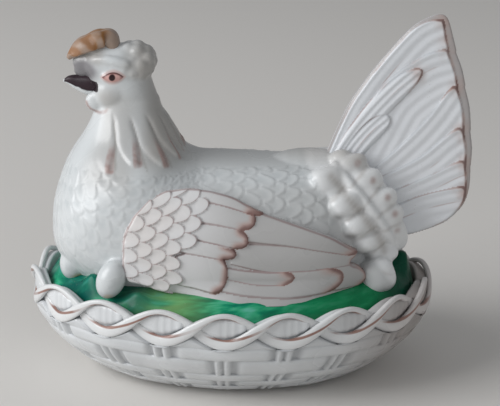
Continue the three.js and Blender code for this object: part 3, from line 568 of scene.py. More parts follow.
# the two rolls over the rump, lobe by lobe, with the ridge where they meet
roll_path = array([0.6, 0, -0.75])
saddle = array([
    ((44.6, 17, 100), (9.5, 7, 7)), ((52.8, 23, 90.3), (9, 5.7, 7)), ((59.6, 23.5, 80.8), (8.8, 5.3, 7)),
    ((65.4, 21.5, 71.6), (8.8, 4.9, 7)), ((73.2, 15.5, 64), (7.6, 5.6, 7.2)),
    ((69.8, 24.5, 55.0), (9.2, 8.8, 8.6))])
coverts = array([
    ((56.5, 9, 106.4), (8.2, 4.8, 6.5)), ((63.7, 12, 98.9), (8.8, 6.0, 6.8)),
    ((71.4, 13, 90.8), (8.2, 4.9, 6.6)), ((75.6, 13, 82.6), (7.6, 4.7, 6.4)),
    ((77.6, 11.5, 74.2), (6, 5, 6))])
ridge = smooth_rows([
    (49.4, 14, 106.2), (56.2, 19.4, 98.8), (63.8, 22, 90.4), (69.8, 21.6, 82.6), (75, 19, 74.6),
    (76.6, 16, 69.4)], 5)
for side in (-1, 1):
    for rows, lean in ((saddle, 0.5), (coverts, 0.42)):
        rows = rows * [(1, side, 1), (1, 1, 1)]
        between = (rows[:-1] + rows[1:]) / 2 * [(1, 1, 1), (0.8, 0.86, 0.6)]
        for place, radii in [*rows, *between]:
            lumps_of_hen.append(lobe(place, radii, (0.87, -side * lean, 0.2), roll_path, 0.72))
    for x, y, z in ridge:
        lumps_of_hen.append(lobe((x, side * y, z), (3.4, 2.7, 3.2), (0.6, 0, -0.75)))
        lumps_of_hen.append(lobe((x + 3, side * (y - 7.5), z), (7, 7, 6.5)))
lumps_of_hen.append(lobe((38, 0, 98.8), (26, 12.8, 15)))
lumps_of_hen.append(lobe((62, 0, 92), (17, 13, 11), roll_path, (1, 0, 1)))
lumps_of_hen.append(lobe((70, 0, 76), (14, 11, 10), roll_path, (1, 0, 1)))


def modified(piece, kind, **settings):
    """Works one modifier into the piece's mesh."""
    step = piece.modifiers.new(kind, kind)
    for key, value in settings.items():
        setattr(step, key, value)
    view = bpy.context.evaluated_depsgraph_get()
    mesh = bpy.data.meshes.new_from_object(piece.evaluated_get(view))
    piece.modifiers.clear()
    piece.data = mesh
    return piece


def fuse(name, lumps, cell, softened):
    """One closed mesh over all the lumps, its creases softened as glaze does."""
    points, faces, first = [], [], 0
    for more, quads, fans in lumps:
        points.append(more)
        faces += [[index + first for index in face] for face in (*quads.tolist(), *fans)]
        first += len(more)
    piece = raw_mesh(name, concatenate(points), faces)
    modified(piece, "REMESH", mode="VOXEL", voxel_size=cell / 1000)
    return modified(piece, "SMOOTH", factor=0.5, iterations=softened)


def read(rows, key):
    flat = np.empty(len(rows) * 3, np.float32)
    rows.foreach_get(key, flat)
    return flat.reshape(-1, 3).astype(float)


def shingle(back, over, pitch, width, last=None):
    """How far inside the free edge of the topmost small feather each place lies. The
    feathers lie in rows, each row over the one behind it, up to the last place for a tip."""
    first = np.floor(back / pitch)
    edge, found = np.zeros_like(back), np.zeros(back.shape, bool)
    for step in (0, 1, 2):
        row = first + step
        aside = where(row % 2 > 0.5, 0.5, 0.0)
        off = 2 * ((over / width + aside) % 1 - 0.5)
        round_end = np.sqrt(clip(1 - off ** 2, 0.02, 1))
        reach = row * pitch - pitch * 0.8 * (1 - round_end) - back
        steep = pitch * 0.8 * np.abs(off) / round_end / (width / 2)
        take = ~found & (reach > 0)
        if last is not None:
            take &= row * pitch < interp((np.floor(over / width + aside) + 0.5 - aside) * width, *last)
        edge = where(take, reach / hypot(1, steep), edge)
        found |= take
    return edge


def feathering(point):
    """Places with both sides as one. For each: how far down the neck it lies, where the
    long feather there ends, how far across it and how far round the neck it lies, how full
    the feather still is, and how far inside a small feather's free edge it lies."""
    at = point * [1, 0, 1] + np.abs(point * [0, 1, 0])
    x, y, z = at.T
    middle = head_middle - 2 + 0.32 * clip(head_seat - z, 0, 60)
    turn = np.arctan2(y * 1.25, -(x - middle))
    down = np.linalg.norm(at - [-50, 0, 152], axis=1)
    fall = limit((down - 26) / 30)
    share = 2 + (np.degrees(turn) - 69.5 - 5.5 * fall) / (25 - 5 * fall)
    end = interp(turn, [0, 0.9, 1.5, 2.2, 2.7, pi], [56, 57, 56, 53, 50, 46])
    end = end + 1.6 * sin(np.floor(share) * 2.4)
    way, ways = (x - nape[0]) / body_long, [0, .37, .6, .74, .84, .92, 1]
    rise = body_high * interp(way, ways, [1, .998, .985, .91, .75, .52, .2])
    half = body_half * interp(way, ways, [1, .967, .84, .67, .52, .35, .1])
    round_back = np.arctan2(y / half, (z - body_middle) / rise)
    round_front = np.arctan2(y / 44, -(hypot(x - nape[0], z - nape[2]) - 58) / 45)
    back = where(way > 0, x, nape[0] - np.arctan2(nape[0] - x, nape[2] - z) * 62)
    over = where(way > 0, round_back, round_front) * 47
    wander = sin(back * 0.31 + over * 0.17) * 1.1
    edge = shingle(back + wander, over + sin(back * 0.23) * 1.2, feather_pitch, feather_width)
    return at, down, end, (share % 1) * 2 - 1, turn, limit((end - down) / 15) ** 0.6, edge


def spot(at, middle, radii):
    """A soft spot, 1 in its middle. Both sides of the hen have one."""
    return exp(-(((at - middle) / radii) ** 2).sum(1))


hen = fuse("hen", lumps_of_hen, cell=0.8, softened=4)
skin_at, facing = read(hen.data.vertices, "co") * 1000, read(hen.data.vertex_normals, "vector")
at, down, end, beside, neck_turn, full, edge = feathering(skin_at)
east, aside, up = at.T
on_neck = soft_step(up, 88, 94) * soft_step(down, 25, 33) * (east < 4)
swell = limit(1 - (np.abs(beside - 0.5 * (1 - full)) / clip(full, 0.05, 1)) ** 4)
swell *= (down < end) * soft_step(neck_turn, 0.95, 1.38)
hackle = on_neck * swell * limit((end - down) / 3)
scaled = (up < 106) & (down > end - 3) & (up > 52) & (east * 0.78 + up * 0.62 <= 93.5) & (east <= 46)
plain = spot(at, (-55, 48, 58), (13, 12, 13)) + spot(at, (-78, 19, 59), (10, 9, 11))
strength = interp(east, [-90, -60, -20, 10, 45], [0.5, 0.6, 0.55, 0.9, 1.0])
scaled = scaled * strength * (1 - limit(plain * 2))
scale_rise = limit(1 - edge / 7.0) * soft_step(edge, 0, 1.5)
lift = hackle * 1.1 + scaled * (scale_rise - 0.35) * 0.7
hen.data.vertices.foreach_set("co", ((skin_at + facing * lift[:, None]) / 1000).ravel())
hen.data.update()

# the hen is cut hollow, and open below where she passes through the nest
wall_inside = -5.5
inside = skin("hen_inside", smooth_rows(hen_rings(wall_inside, neck_end=0.4, sides=48), 4))
under_rings = [level_ring(rim_angles(72), nest_inset - 30, height) for height in (-10.0, 39)]
for step in (0, 1.2, 3.5, 7.5, 17):
    under_rings.append(level_ring(rim_angles(72), nest_inset + step, mound_height(step) - 5))
for tool in (inside, skin("under_nest", under_rings)):
    modified(hen, "BOOLEAN", operation="DIFFERENCE", object=tool, solver="MANIFOLD")
    bpy.data.objects.remove(tool)
hen.data.shade_smooth()

# brown brushed onto the neck's feathers, the coverts' tips and the wattles, ochre on the toes
at, down, end, beside, neck_turn, full, edge = feathering(read(hen.data.vertices, "co") * 1000)
east, aside, up = at.T
on_neck = (up > 90) & (east < 4)
streak = soft_step(np.abs(beside - 0.5 - 0.25 * full), 0.45, 0.15)
streak *= soft_step(end - down, 21, 6) * soft_step(end - down, -1, 1.5)
brown = streak * on_neck * soft_step(neck_turn, 0.95, 1.1)
for (x, y, z), radii in coverts:
    brown = np.maximum(brown, spot(at, (x + radii[0] * 0.34, y + 3, z + 2), (2.1, 5.25, 2.1)))
wattle_off = hypot((east + 65.2) / 1.15, up - 135.2)
wattle_line = exp(-((wattle_off - 5.3) / 0.9) ** 2) * (up < 135.4) * (aside > 3)
brown = np.maximum(brown, wattle_line * soft_step(-east, 59, 62) * 0.9)
toes = sum(spot(at, toe, (4.2, 4.2, 3.23)) for toe in (
    (-49, 46, 52), (-74, 24, 52), (-57, 53, 50.5), (-80, 17, 50)))

# painted shade in grey between feathers and rolls and behind crest and neck; the creases hold some pooled
# glaze too
# where the rolls over the rump lie; the glaze paints them lighter, a painted highlight where the light
# catches them
rolled = soft_step(east * 0.78 + up * 0.62, 92, 95) * soft_step(east, 32, 38)
between = clip(np.abs(beside) - 0.84, 0, 0.16) * 6 * on_neck * soft_step(end - down, -2, 2)
between *= soft_step(down, 26, 32) * soft_step(neck_turn, 1.0, 1.2)
crest_shade = soft_step(up, 145, 149) * soft_step(east, -57, -50)
creases = exp(-(edge - 6.0) ** 2 / 3) * 0.5 * ((up < 106) & (down > end)) * (1 - rolled) + between
creases += 0.6 * crest_shade * (0.5 + 0.5 * sin(east * 0.9) * sin(up * 0.8))
creases += 0.5 * soft_step(up, 102, 112) * soft_step(east, -46, -34)
shade = 0.6 * crest_shade + 0.45 * between + 0.5 * spot(at, (-61, 0, 139), (6, np.inf, 4.5))
for share, (east_low, east_high), (up_low, up_high), mask in (
        (1.0, (-52, -36), (102, 116), 1), (0.85, (-60, -66), (151, 156), 1),
        (0.55, (-44, -52), (92, 106), soft_step(neck_turn, 0.7, 1.1) * soft_step(up, 144, 132)),
        (0.3, (-30, -10), (104, 96), 1 - rolled)):
    shade += share * soft_step(east, east_low, east_high) * soft_step(up, up_low, up_high) * mask
for (x, y, z), radii in [*saddle[:-2], *coverts]:
    shade += 0.2 * (aside > 4) * spot(at, (x + radii[0] * 0.55, 0, z + radii[0] * 0.1), (3.6, np.inf, 4.5))
for row in (saddle[:, 0, ::2], coverts[:, 0, ::2]):
    for place, after in zip(row, row[1:]):
        step = unit(after - place)
        off = at[:, ::2] - (place + after) / 2
        shade += 0.55 * exp(-(off @ step) ** 2 - (off @ [step[1], -step[0]] / 6) ** 4) * rolled
beside_ridge = np.min([hypot(east - x + 3.0, up - z + 2.4) for x, _, z in ridge], axis=0)
shade += 0.7 * exp(-(beside_ridge / 2.0) ** 2)

# painted shade under the comb, above the beak, and the beak's dark brushing where it runs on into the face
smoky = 1.3 * spot(at, (-73, 0, 149.4), (7.5, np.inf, 5.2))
corner = 1.6 * np.abs((up - 142) / 3.2) ** 4
ink = soft_step(east + corner, -64.9, -65.6) * soft_step(up, 139.2, 140.0) * soft_step(up, 145.2, 144.2)
ink *= soft_step(east, -75, -72) * soft_step(aside, 2, 4)
note(hen, brown=brown, smoky=smoky, ink=ink, ochre=limit(toes), hollow=limit(creases),
     shade=limit(shade), rolled=rolled)
eye_x, eye_z, eye_scale = -0.058, 0.1479, 190.0


def hen_glaze(brush):
    worn = brush.cloud(190.0, 3.0).within(0.3, 0.55) * 0.5 + 0.5
    along = (brush.axis(0) - eye_x) * eye_scale
    high = (brush.axis(2) - eye_z) * eye_scale - 0.06 * along
    lid = 0.47 * (1 - along * along) - high.size()
    near_face = brush.axis(1).size().within(0.006, 0.008)
    eye = (along.size().within(0.5, 0.95) * 0.75).over((0.62, 0.37, 0.34), (0.16, 0.045, 0.04))
    rim = lid.within(0.24, 0.06) * high.within(-0.12, 0.08)
    across = along + 0.05
    pupil = (across * across + high * high * 0.9).within(0.12, 0.05)
    eye = pupil.over(rim.over(eye, (0.09, 0.022, 0.022)), (0.02, 0.003, 0.005))
    return painted(
        white_ware(brush),
        # painted highlight: the rolls over the rump are lighter white
        (brush.kept("rolled") * 0.7, (0.8, 0.81, 0.815)),
        # painted shade in warm grey
        (brush.kept("shade") * 0.62, (0.29, 0.255, 0.22)),
        (brush.kept("brown").within(0.05, 1.0) * worn * 0.8, (0.33, 0.215, 0.195)),
        (brush.kept("ochre").within(0.3, 0.9) * worn * 0.7, (0.62, 0.42, 0.12)),
        # painted shade under the comb, above the beak
        (brush.kept("smoky").within(0.0, 0.9) * 0.88, (0.14, 0.13, 0.14)),
        (brush.kept("ink").within(0.3, 0.7), (0.012, 0.005, 0.009)),
        (lid.within(-0.34, -0.02) * 0.55 * near_face, (0.56, 0.32, 0.28)),
        (lid.within(-0.02, 0.06) * near_face, eye))


seat(hen, "lid", "hen_glaze", glaze("hen white glaze", hen_glaze), "hen_body", "hen_head", "crest",
     *[f"{side}_{piece}" for side in ("left", "right") for piece in (
         "wattle", "saddle_feathers", "tail_coverts", "front_tuft", "side_tuft")])

# The beak is pinched out of the face. Its upper half is brushed with purple black, which
# bleeds a little up into the white, and the lower half and the very tip are left white.

beak_sides = 40
beak_table = [(-.16, .15, 1.05, 1.15), (0, .05, 1, 1), (.3, 0, .86, .8), (.6, .02, .6, .54),
              (.85, .1, .32, .3), (1, 0, .1, .1)]
beak_rings = smooth_rows([round_ring((-66.5 - 16.5 * way, 0, 141.2 + 1.7 * way + 7 * drop),
                                     (0.12, 0, 1), 6.2 * high, 6.4 * wide, beak_sides)
                          for way, drop, high, wide in beak_table], 9)
upper = cos(turns(beak_sides))
mouth = exp(-((upper + 0.32) / 0.12) ** 2)
beak_ways = linspace(0, 1, len(beak_rings))[:, None]
middles = beak_rings.mean(1, keepdims=True)
beak = skin("beak", middles + (beak_rings - middles) * (1 - 0.1 * mouth * (beak_ways < 0.9))[..., None])
# the mouth line is darkened: painted shade, with some pooled glaze
note(beak, upper=upper, way=beak_ways, hollow=mouth * 0.8)


def beak_glaze(brush):
    white = white_ware(brush)
    upper = brush.kept("upper") + brush.cloud(220.0) * 0.3 - 0.15
    way = brush.kept("way") + brush.cloud(160.0) * 0.08 - 0.04
    patch = upper.within(-0.5, -0.36) * way.within(0.08, 0.13) * way.within(0.97, 0.93)
    dark = brush.cloud(260.0).over((0.008, 0.003, 0.007), (0.028, 0.009, 0.016))
    return (patch * 0.98).over(white, dark)


seat(beak, "lid", "beak_glaze", glaze(
    "beak glaze", beak_glaze, shine=0.3, coat=0.0, ripple=0.1, gloss=0.2), "beak")

# The comb is a thick leaf of clay that rises from the crown and curls forward over the
# brow, furrowed from its fold to its edge, with tan and orange brown washed into furrows.

comb_rows = smooth_rows([
    (-58.5, 159.8, 6.2, 3.6), (-60.7, 164.4, 7.4, 4.3), (-64.4, 164.6, 8.3, 4.2), (-69.0, 163.2, 8.6, 4.1),
    (-73.9, 160.6, 7.8, 3.9), (-78.0, 157.0, 5.4, 2.9), (-80.4, 154.0, 2.2, 1.2)], 10)
comb_sides = 72
comb_top, comb_side = cos(turns(comb_sides)), np.abs(sin(turns(comb_sides)))
comb_rings, furrows = [], []
for i, (x, z, wide, thick) in enumerate(comb_rows):
    run, climb = (comb_rows[min(i + 1, len(comb_rows) - 1)] - comb_rows[max(i - 1, 0)])[:2]
    upward = array([climb, 0, -run]) / hypot(run, climb)
    upward *= np.sign(upward[2])
    way = i / (len(comb_rows) - 1)
    furrow = (0.5 + 0.5 * cos(way * 21 + comb_side * 2.4)) ** 1.6
    furrow *= limit(comb_side * 1.3) * limit(comb_top * 2 + 0.8)
    curl = -2.6 * comb_side ** 2 * sin(pi * min(1, way * 1.1))
    fold = 1.5 * exp(-(comb_side / 0.22) ** 2) * (comb_top > 0) * sin(pi * way)
    ring = round_ring((x, 0, z), upward, thick, wide, comb_sides, 2.4)
    comb_rings.append(ring + upward * (curl - fold - furrow * 1.25)[:, None])
    furrows.append(furrow)
comb = skin("comb", comb_rings)
# the furrows are darkened: painted shade, with some pooled glaze
note(comb, furrow=furrows, way=linspace(0, 1, len(comb_rows))[:, None], top=comb_top,
     hollow=array(furrows) * 0.5)


def comb_glaze(brush):
    furrow, way = brush.kept("furrow"), brush.kept("way")
    white = white_ware(brush, (0.36, 0.27, 0.215), (0.26, 0.21, 0.175))
    wash = (furrow * 1.2 + brush.cloud(170.0) * 1.1 - 0.3).within(0.0, 0.8)
    wash = wash * brush.kept("top").within(-0.9, -0.5) * way.within(0.14, 0.28)
    tan = way.within(0.35, 0.6).over((0.21, 0.09, 0.02), (0.3, 0.16, 0.085))
    deep = (furrow.within(0.3, 0.9) * way.within(0.6, 0.35)).over(tan, (0.13, 0.05, 0.01))
    return (wash * 0.95).over(white, deep)


seat(comb, "lid", "comb_glaze", glaze(
    "comb glaze", comb_glaze, shine=0.34, coat=0.03, ripple=0.1, gloss=0.25), "comb")

# Each wing lies folded over the flank with its tips spread on the nest: long flight
# feathers, then shorter ones with round ends, then small scale feathers on the shoulder.
# Every feather is outlined with a fine brush, and the round ends have brown crescents.

wing_ways, wing_halves = smooth_rows([
    (-66, 43), (-50, 48.5), (-34, 50.5), (-16, 51), (0, 50.8), (18, 49.8), (36, 47.2), (50, 42.5),
    (62, 34.5), (72, 26)], 6).T


def wing_face(x, z):
    lean = np.minimum(np.abs((z - 60.0) / 52), 0.985)
    spread = 8 * limit((61 - z) / 10) ** 1.5 * soft_step(x, -32, 5) * soft_step(x, 64, 20)
    return interp(x, wing_ways, wing_halves) * (1 - lean ** 2.3) ** (1 / 2.3) + spread


def outline_depth(outline, x, z):
    """How far inside a closed outline each place lies, and below 0 outside it."""
    best, inside = np.full(x.shape, 1e9), np.zeros(x.shape, bool)
    for (ax, az), (bx, bz) in zip(outline, np.roll(outline, -1, 0)):
        dx, dz = bx - ax, bz - az
        t = limit(((x - ax) * dx + (z - az) * dz) / (dx * dx + dz * dz + 1e-12))
        best = np.minimum(best, hypot(x - ax - t * dx, z - az - t * dz))
        inside ^= ((az > z) != (bz > z)) & (x < ax + (z - az) * dx / (dz if abs(dz) > 1e-9 else 1e-9))
    return where(inside, best, -best)


def feather_depth(root, tip, half, bend, x, z, blunt=0.3):
    """How far inside a long feather each place lies, how far along it, and how far across."""
    root, tip = array(root), array(tip)
    length = np.linalg.norm(tip - root)
    ux, uz = (tip - root) / length
    along = ((x - root[0]) * ux + (z - root[1]) * uz) / length
    off = -(x - root[0]) * uz + (z - root[1]) * ux - bend * 4 * along * (1 - along)
    share = limit((along - (1 - blunt)) / blunt)
    wide = half * interp(along, [0, 0.25, 0.6, 1], [0.72, 0.9, 1, 1])
    wide = wide * limit(1 - share ** 2.2) ** 0.5
    edge = np.minimum((wide - np.abs(off)) / hypot(1, 0.5 * share), (1 - along) * length)
    return where(along < 0, -1.0, edge), along, off / half


def relief_plate(name, x, z, depth, cell, front, back, **notes):
    """A closed plate over the places where depth is above 0: its border is drawn onto the
    outline, and front and back give the surface points for places in the side view. A note
    has its values for both faces and one value for the wall between them."""
    gx, gz = np.gradient(depth, cell)
    steep = np.maximum(gx ** 2 + gz ** 2, 0.25)
    kept = depth > -0.7 * cell
    quad = kept[:-1, :-1] & kept[1:, :-1] & kept[1:, 1:] & kept[:-1, 1:]
    touch = np.zeros(depth.shape, int)
    for i, j in ((0, 0), (1, 0), (1, 1), (0, 1)):
        touch[i:depth.shape[0] - 1 + i, j:depth.shape[1] - 1 + j] += quad
    used = touch > 0
    count = used.sum()
    shift = where(used & (touch < 4), clip(-depth, -cell, cell), 0)
    x, z = x + shift * gx / steep, z + shift * gz / steep
    number = np.full(depth.shape, -1)
    number[used] = arange(count)
    i, j = np.nonzero(quad)
    faces = stack([number[i, j], number[i + 1, j], number[i + 1, j + 1], number[i, j + 1]], -1)
    edges = concatenate([faces[:, [k, (k + 1) % 4]] for k in range(4)])
    _, first, times = np.unique(np.sort(edges, 1) @ [count, 1], return_index=True, return_counts=True)
    a, b = edges[first[times == 1]].T
    near, far = front(x, z)[used], back(x, z)[used]
    border, everywhere = np.unique([a, b]), arange(count)
    points, quads, last, at = [near], [faces], everywhere, count
    for share, which in ((1 / 3, border), (2 / 3, border), (1, everywhere)):
        points.append(near[which] * (1 - share) + far[which] * share)
        this = np.full(count, -1)
        this[which] = at + arange(len(which))
        quads.append(stack([last[b], last[a], this[a], this[b]], -1))
        last, at = this, at + len(which)
    piece = closed_mesh(name, concatenate(points), concatenate([*quads, faces[:, ::-1] + last[0]]))
    for key, (value, wall) in notes.items():
        note(piece, **{key: concatenate([value[used], np.full(2 * len(border), wall), value[used]])})
    return piece


def rounded(depth, reach):
    """Rises from 0 at an edge to 1 at this reach inside it, as round as a quarter circle."""
    return np.sqrt(limit(1 - (1 - limit(depth / reach)) ** 2))


wing_outline = concatenate([smooth_rows([
    (-51.6, 77.8), (-50.4, 82.4), (-46.2, 89.8), (-40.1, 96.2), (-32.6, 99.9), (-23.9, 101.3), (-15.0, 101.2),
    (-6.1, 100.0), (1.9, 97.9), (12.2, 93.3), (31.9, 86.8), (46.7, 81.0), (54.2, 76.2), (61.6, 71.2)], 4),
    smooth_rows([
        (59.7, 68.3), (57.6, 66.2), (62.4, 63.2), (66.0, 58.0), (64.6, 53.4), (56.8, 50.0), (42.9, 49.2),
        (23.6, 48.2), (11.4, 48.0), (4.3, 48.4), (-5, 49.4), (-14.4, 51.5), (-22.4, 52.3), (-28.5, 53.2),
        (-35.3, 54.6), (-38, 55.8), (-43.5, 57), (-48.3, 57.6), (-50, 60.8), (-51.5, 65), (-51.7, 71.3)], 3)])
flight = [((0, 73.6), (60.8, 69.8), 7.2, -1.6), ((28, 59.8), (65.8, 59.2), 5.8, 0.5),
          ((-8, 60.8), (53.0, 60.2), 5.7, -1.2), ((-12, 67.0), (29.4, 62.0), 3.2, -2.2),
          ((2, 85.2), (63.4, 76.0), 8.3, 3.3)]
second = [((-27.2, 65.2), (-1.7, 62.6), 9.3, 1.5), ((-28, 77.2), (2.0, 73.2), 3.7, 0.6),
          ((-19, 83.6), (7.6, 79.0), 4.6, 0.7), ((-19, 91.6), (10.7, 88.2), 5.6, 1.2),
          ((-18, 98.4), (14.4, 91.9), 3.4, 1.4)]
shoulder = array([
    (-24.1, 46), (-24.1, 58.1), (-24.5, 65.1), (-24.0, 72.9), (-16.0, 77.1), (-14.1, 83.5), (-11.7, 88.0),
    (-12.7, 93.1), (-10.4, 99.4), (-10.4, 104)])

cell = 0.42
wing_x, wing_z = np.meshgrid(arange(-54, 68, cell), arange(48, 102.5, cell), indexing="ij")
wing_depth = outline_depth(wing_outline, wing_x, wing_z)
height, crescent, line = 0 * wing_x, 0 * wing_x, 0 * wing_x + 3
for number, (root, tip, half, bend) in enumerate(flight + second):
    long = number < len(flight)
    depth, along, off = feather_depth(root, tip, half, bend, wing_x, wing_z, 0.16 if long else 0.3)
    depth = np.minimum(depth, wing_depth + 0.6)
    base = 0.25 + 0.16 * number if long else 1.15 + 0.12 * (number - len(flight))
    rise = base + 0.5 * (1 - off ** 2) + 0.25 * along
    blend = soft_step(depth, -0.15, 0.55)
    height = height * (1 - blend) + rise * blend
    near = depth > -0.3
    line = where(near, np.abs(depth), line)
    mark = soft_step(along, 0.75, 0.96) if long else soft_step(along, 0.64, 0.85)
    crescent = where(near, mark * clip(1.3 - clip(depth, 0, 9) * 0.3, 0, 1.2), crescent)


def scale_place(x, z):
    """Place over the rows of small scales, which bow forward a little, and along them."""
    lean = np.radians(3)
    along = z * cos(lean) - x * sin(lean)
    return x * cos(lean) + z * sin(lean) - 0.012 * (along - 70) ** 2, along


over_rows, along_rows = scale_place(wing_x, wing_z)
last_over, last_along = scale_place(*shoulder.T)
scale_pitch, scale_width = 6.6, 7.0
scale_edge = shingle(over_rows, along_rows + 0.5 * sin(over_rows * 0.3), scale_pitch, scale_width,
                     (last_along, last_over + 2.4))
covered = scale_edge > 0
scale_high = 1.75 + 0.75 * limit(1 - scale_edge / 6.5) + 0.2 * clip(scale_edge, 0, 0.6)
height = where(covered, scale_high, height)
line = where(covered, scale_edge, line)
crescent = where(covered, 0.0, crescent)
risen = rounded(wing_depth, 2.4)
wing_height = (height + 0.6) * (0.25 + 0.75 * risen) - 2.6 * (1 - risen) - 1.6
line = np.minimum(line, where(wing_z > 58 - wing_x * 0.1, np.abs(wing_depth - 1.5), 3.0))


def wing_surface(side, height):
    """The wing's smooth face on one side of the hen, raised by height along its normals."""
    def surface(x, z):
        step = 0.5
        slope_x = (wing_face(x + step, z) - wing_face(x - step, z)) / (2 * step)
        slope_z = (wing_face(x, z + step) - wing_face(x, z - step)) / (2 * step)
        normal = unit(stack([-slope_x, np.ones_like(x), -slope_z], -1))
        return (stack([x, wing_face(x, z), z], -1) + normal * height[..., None]) * [1, side, 1]
    return surface


def wing_glaze(brush):
    wander, crescent = brush.cloud(210.0, 3.0), brush.kept("crescent")
    line = (brush.kept("line") - wander * 0.5).within(0.5, 0.0) * (brush.cloud(90.0) * 0.7 + 0.35)
    return painted(
        white_ware(brush, (0.66, 0.66, 0.665), (0.52, 0.5, 0.495)),
        # painted shade over the flight feathers, which face away from the light
        (brush.axis(0).within(-0.025, 0.012) * 0.9, (0.4, 0.395, 0.39)),
        (brush.cloud(40.0).within(0.35, 0.7) * 0.3 * brush.kept("shoulder"), (0.66, 0.585, 0.54)),
        (line * 0.85, (0.27, 0.17, 0.165)),
        ((crescent + wander * 0.4 - 0.2).within(0.0, 0.8) * 0.88,
         crescent.within(0.5, 1.05).over((0.42, 0.3, 0.27), (0.185, 0.09, 0.075))))


wing_white = glaze("wing glaze", wing_glaze)
for label, side in (("left", -1), ("right", 1)):
    # the white is darkened close to each painted outline: painted shade, with some pooled glaze
    wing = relief_plate(
        f"{label}_folded_wing", wing_x, wing_z, wing_depth, cell,
        wing_surface(side, wing_height), wing_surface(side, 0 * wing_x - 9),
        line=(line, 0), crescent=(crescent, 0), shoulder=(covered, 0), hollow=(limit(0.6 - line), 0))
    seat(wing, "lid", "feather_glaze", wing_white, f"{label}_wing")

# The tail is an upright fan of long feathers, moulded alike on both faces, with a second
# row showing past their ends and two short feathers laid over the front ones.

upper_edges = [
    [(48, 104), (55, 114.4), (60, 124.2), (69.1, 141.8), (78.6, 151.5), (86, 156.8), (93.4, 160.8),
     (101.6, 163.1), (112, 166)],
    [(60, 96), (68.8, 103.4), (85.1, 119.1), (95.2, 131.3), (102.2, 142), (107.8, 146.2), (116, 148)],
    [(66, 95), (72.9, 99.8), (81.3, 103.7), (91.8, 110), (101, 118.3), (106.9, 123.2), (110.9, 124),
     (119, 124.5)],
    [(72, 88.5), (78.8, 92.2), (86.4, 95.6), (95.6, 99.9), (107.7, 106.3), (114.3, 108.2), (122, 109)],
    [(74, 82), (82.3, 85.6), (93, 90), (107, 93.6), (115.2, 95), (122, 95.5)]]
front_feathers = [((50, 104), (89.0, 152.6), 5.6, 3.2), ((54, 104), (74.6, 129.4), 5.2, 1.6)]
tail_outline = concatenate([smooth_rows(rows, steps) for rows, steps in (
    ([(40, 98), (43.5, 105), (46.1, 112.2), (54.0, 132.0), (60.6, 143.2), (68.7, 154.9), (82.1, 171.0),
      (90.5, 177.0), (96.9, 178.9), (100.5, 176.5), (103.6, 167.5), (105.4, 161.5)], 4),
    ([(105.2, 160.8), (108.6, 153), (110.8, 145)], 3),
    ([(110.6, 144), (113.6, 134), (115.0, 123)], 3),
    ([(114.8, 122), (116.2, 113.5), (116.2, 105.5)], 3),
    ([(116.0, 104.5), (116.3, 95), (114.4, 86), (109.4, 79.2), (103.6, 74.6), (95, 71), (85.8, 68.2),
      (76, 66), (66, 66), (52, 80)], 3))])
cell = 0.5
tail_x, tail_z = np.meshgrid(arange(38, 119, cell), arange(64, 181, cell), indexing="ij")
tail_depth = outline_depth(tail_outline, tail_x, tail_z)
margin = interp(tail_z, [66, 88, 98, 112, 131, 155, 170, 178], [0, 1, 2.2, 3.2, 3.7, 3.8, 3.2, 2])
front_depth = tail_depth - margin * soft_step(tail_x, 88, 97)

laid, far_down = [], [(900, -900), (-900, -900)]
for number, edge_line in enumerate([tail_outline[:32], *upper_edges]):
    edge_line = smooth_rows(edge_line, 4) if number else edge_line
    before, after = (end + (end - inner) * 200 for end, inner in (edge_line[:2], edge_line[:-3:-1]))
    under = outline_depth([before, *edge_line, after, *far_down], tail_x, tail_z)
    depth = np.minimum(under, front_depth)
    corner = 3 - hypot(clip(3 - under, 0, None), clip(3 - front_depth, 0, None))
    depth = where(depth < 3, corner, depth)
    flute = 0.15 * cos(under * 1.22) * soft_step(under, 0.5, 3)
    rise = 0.75 + 0.05 * number + 0.75 * exp(-clip(under, 0, None) / 4) + flute
    laid.append((depth, rise, np.abs(under - 7.6)))
for root, tip, half, bend in front_feathers:
    depth, along, off = feather_depth(root, tip, half, bend, tail_x, tail_z, 0.34)
    rise = 1.4 + 0.6 * (1 - off ** 4) + 0.2 * cos(off * 11)
    laid.append((depth, rise, where(along < 0.85, np.abs(off) * half, 3.0)))
# behind stays 1 where only the back row shows past the front feathers; the glaze paints it as shade
height, line, shaft, behind = 0 * tail_x + 0.2, 0 * tail_x + 3, 0 * tail_x + 3, 0 * tail_x + 1
for depth, rise, shaft_off in laid:
    near, blend = depth > -0.3, soft_step(depth, -0.3, 0.9)
    height, behind = height * (1 - blend) + rise * blend, behind * (1 - blend)
    line, shaft = where(near, np.abs(depth), line), where(near, shaft_off, shaft)
crescent = 0 * tail_x
for x, z, strong in (
        (98.3, 175.6, 1.1), (99.6, 168, 0.8), (101.4, 161.4, 0.8), (107.2, 144.4, 1), (110.6, 121.4, 1),
        (113.4, 105.6, 1), (114.0, 91.5, 1.2), (113.0, 88, 0.8), (88.0, 150.0, 0.9), (85.4, 144.6, 0.5),
        (74.4, 127.6, 0.25)):
    mark = strong * exp(-(hypot(tail_x - x, (tail_z - z) * 0.8) / 6) ** 2)
    crescent = np.maximum(crescent, mark * np.maximum(1.1 * soft_step(line, 1.7, 0.4), 0.5))
fringe = (1 - soft_step(np.abs(front_depth), 0.3, 1.6)) * soft_step(tail_x, 92, 105)
crescent = np.maximum(crescent, fringe * (0.42 + 0.25 * sin(tail_z * 0.45)))
from_base = hypot(tail_x - 62, tail_z - 88)
tail_half = 0.7 + 2.6 * exp(-clip(from_base - 12, 0, 99) / 26)
tail_thick = (tail_half + height) * (0.3 + 0.7 * rounded(tail_depth, 2.0))


def tail_surface(side):
    return lambda x, z: stack([x, side * tail_thick, z], -1)


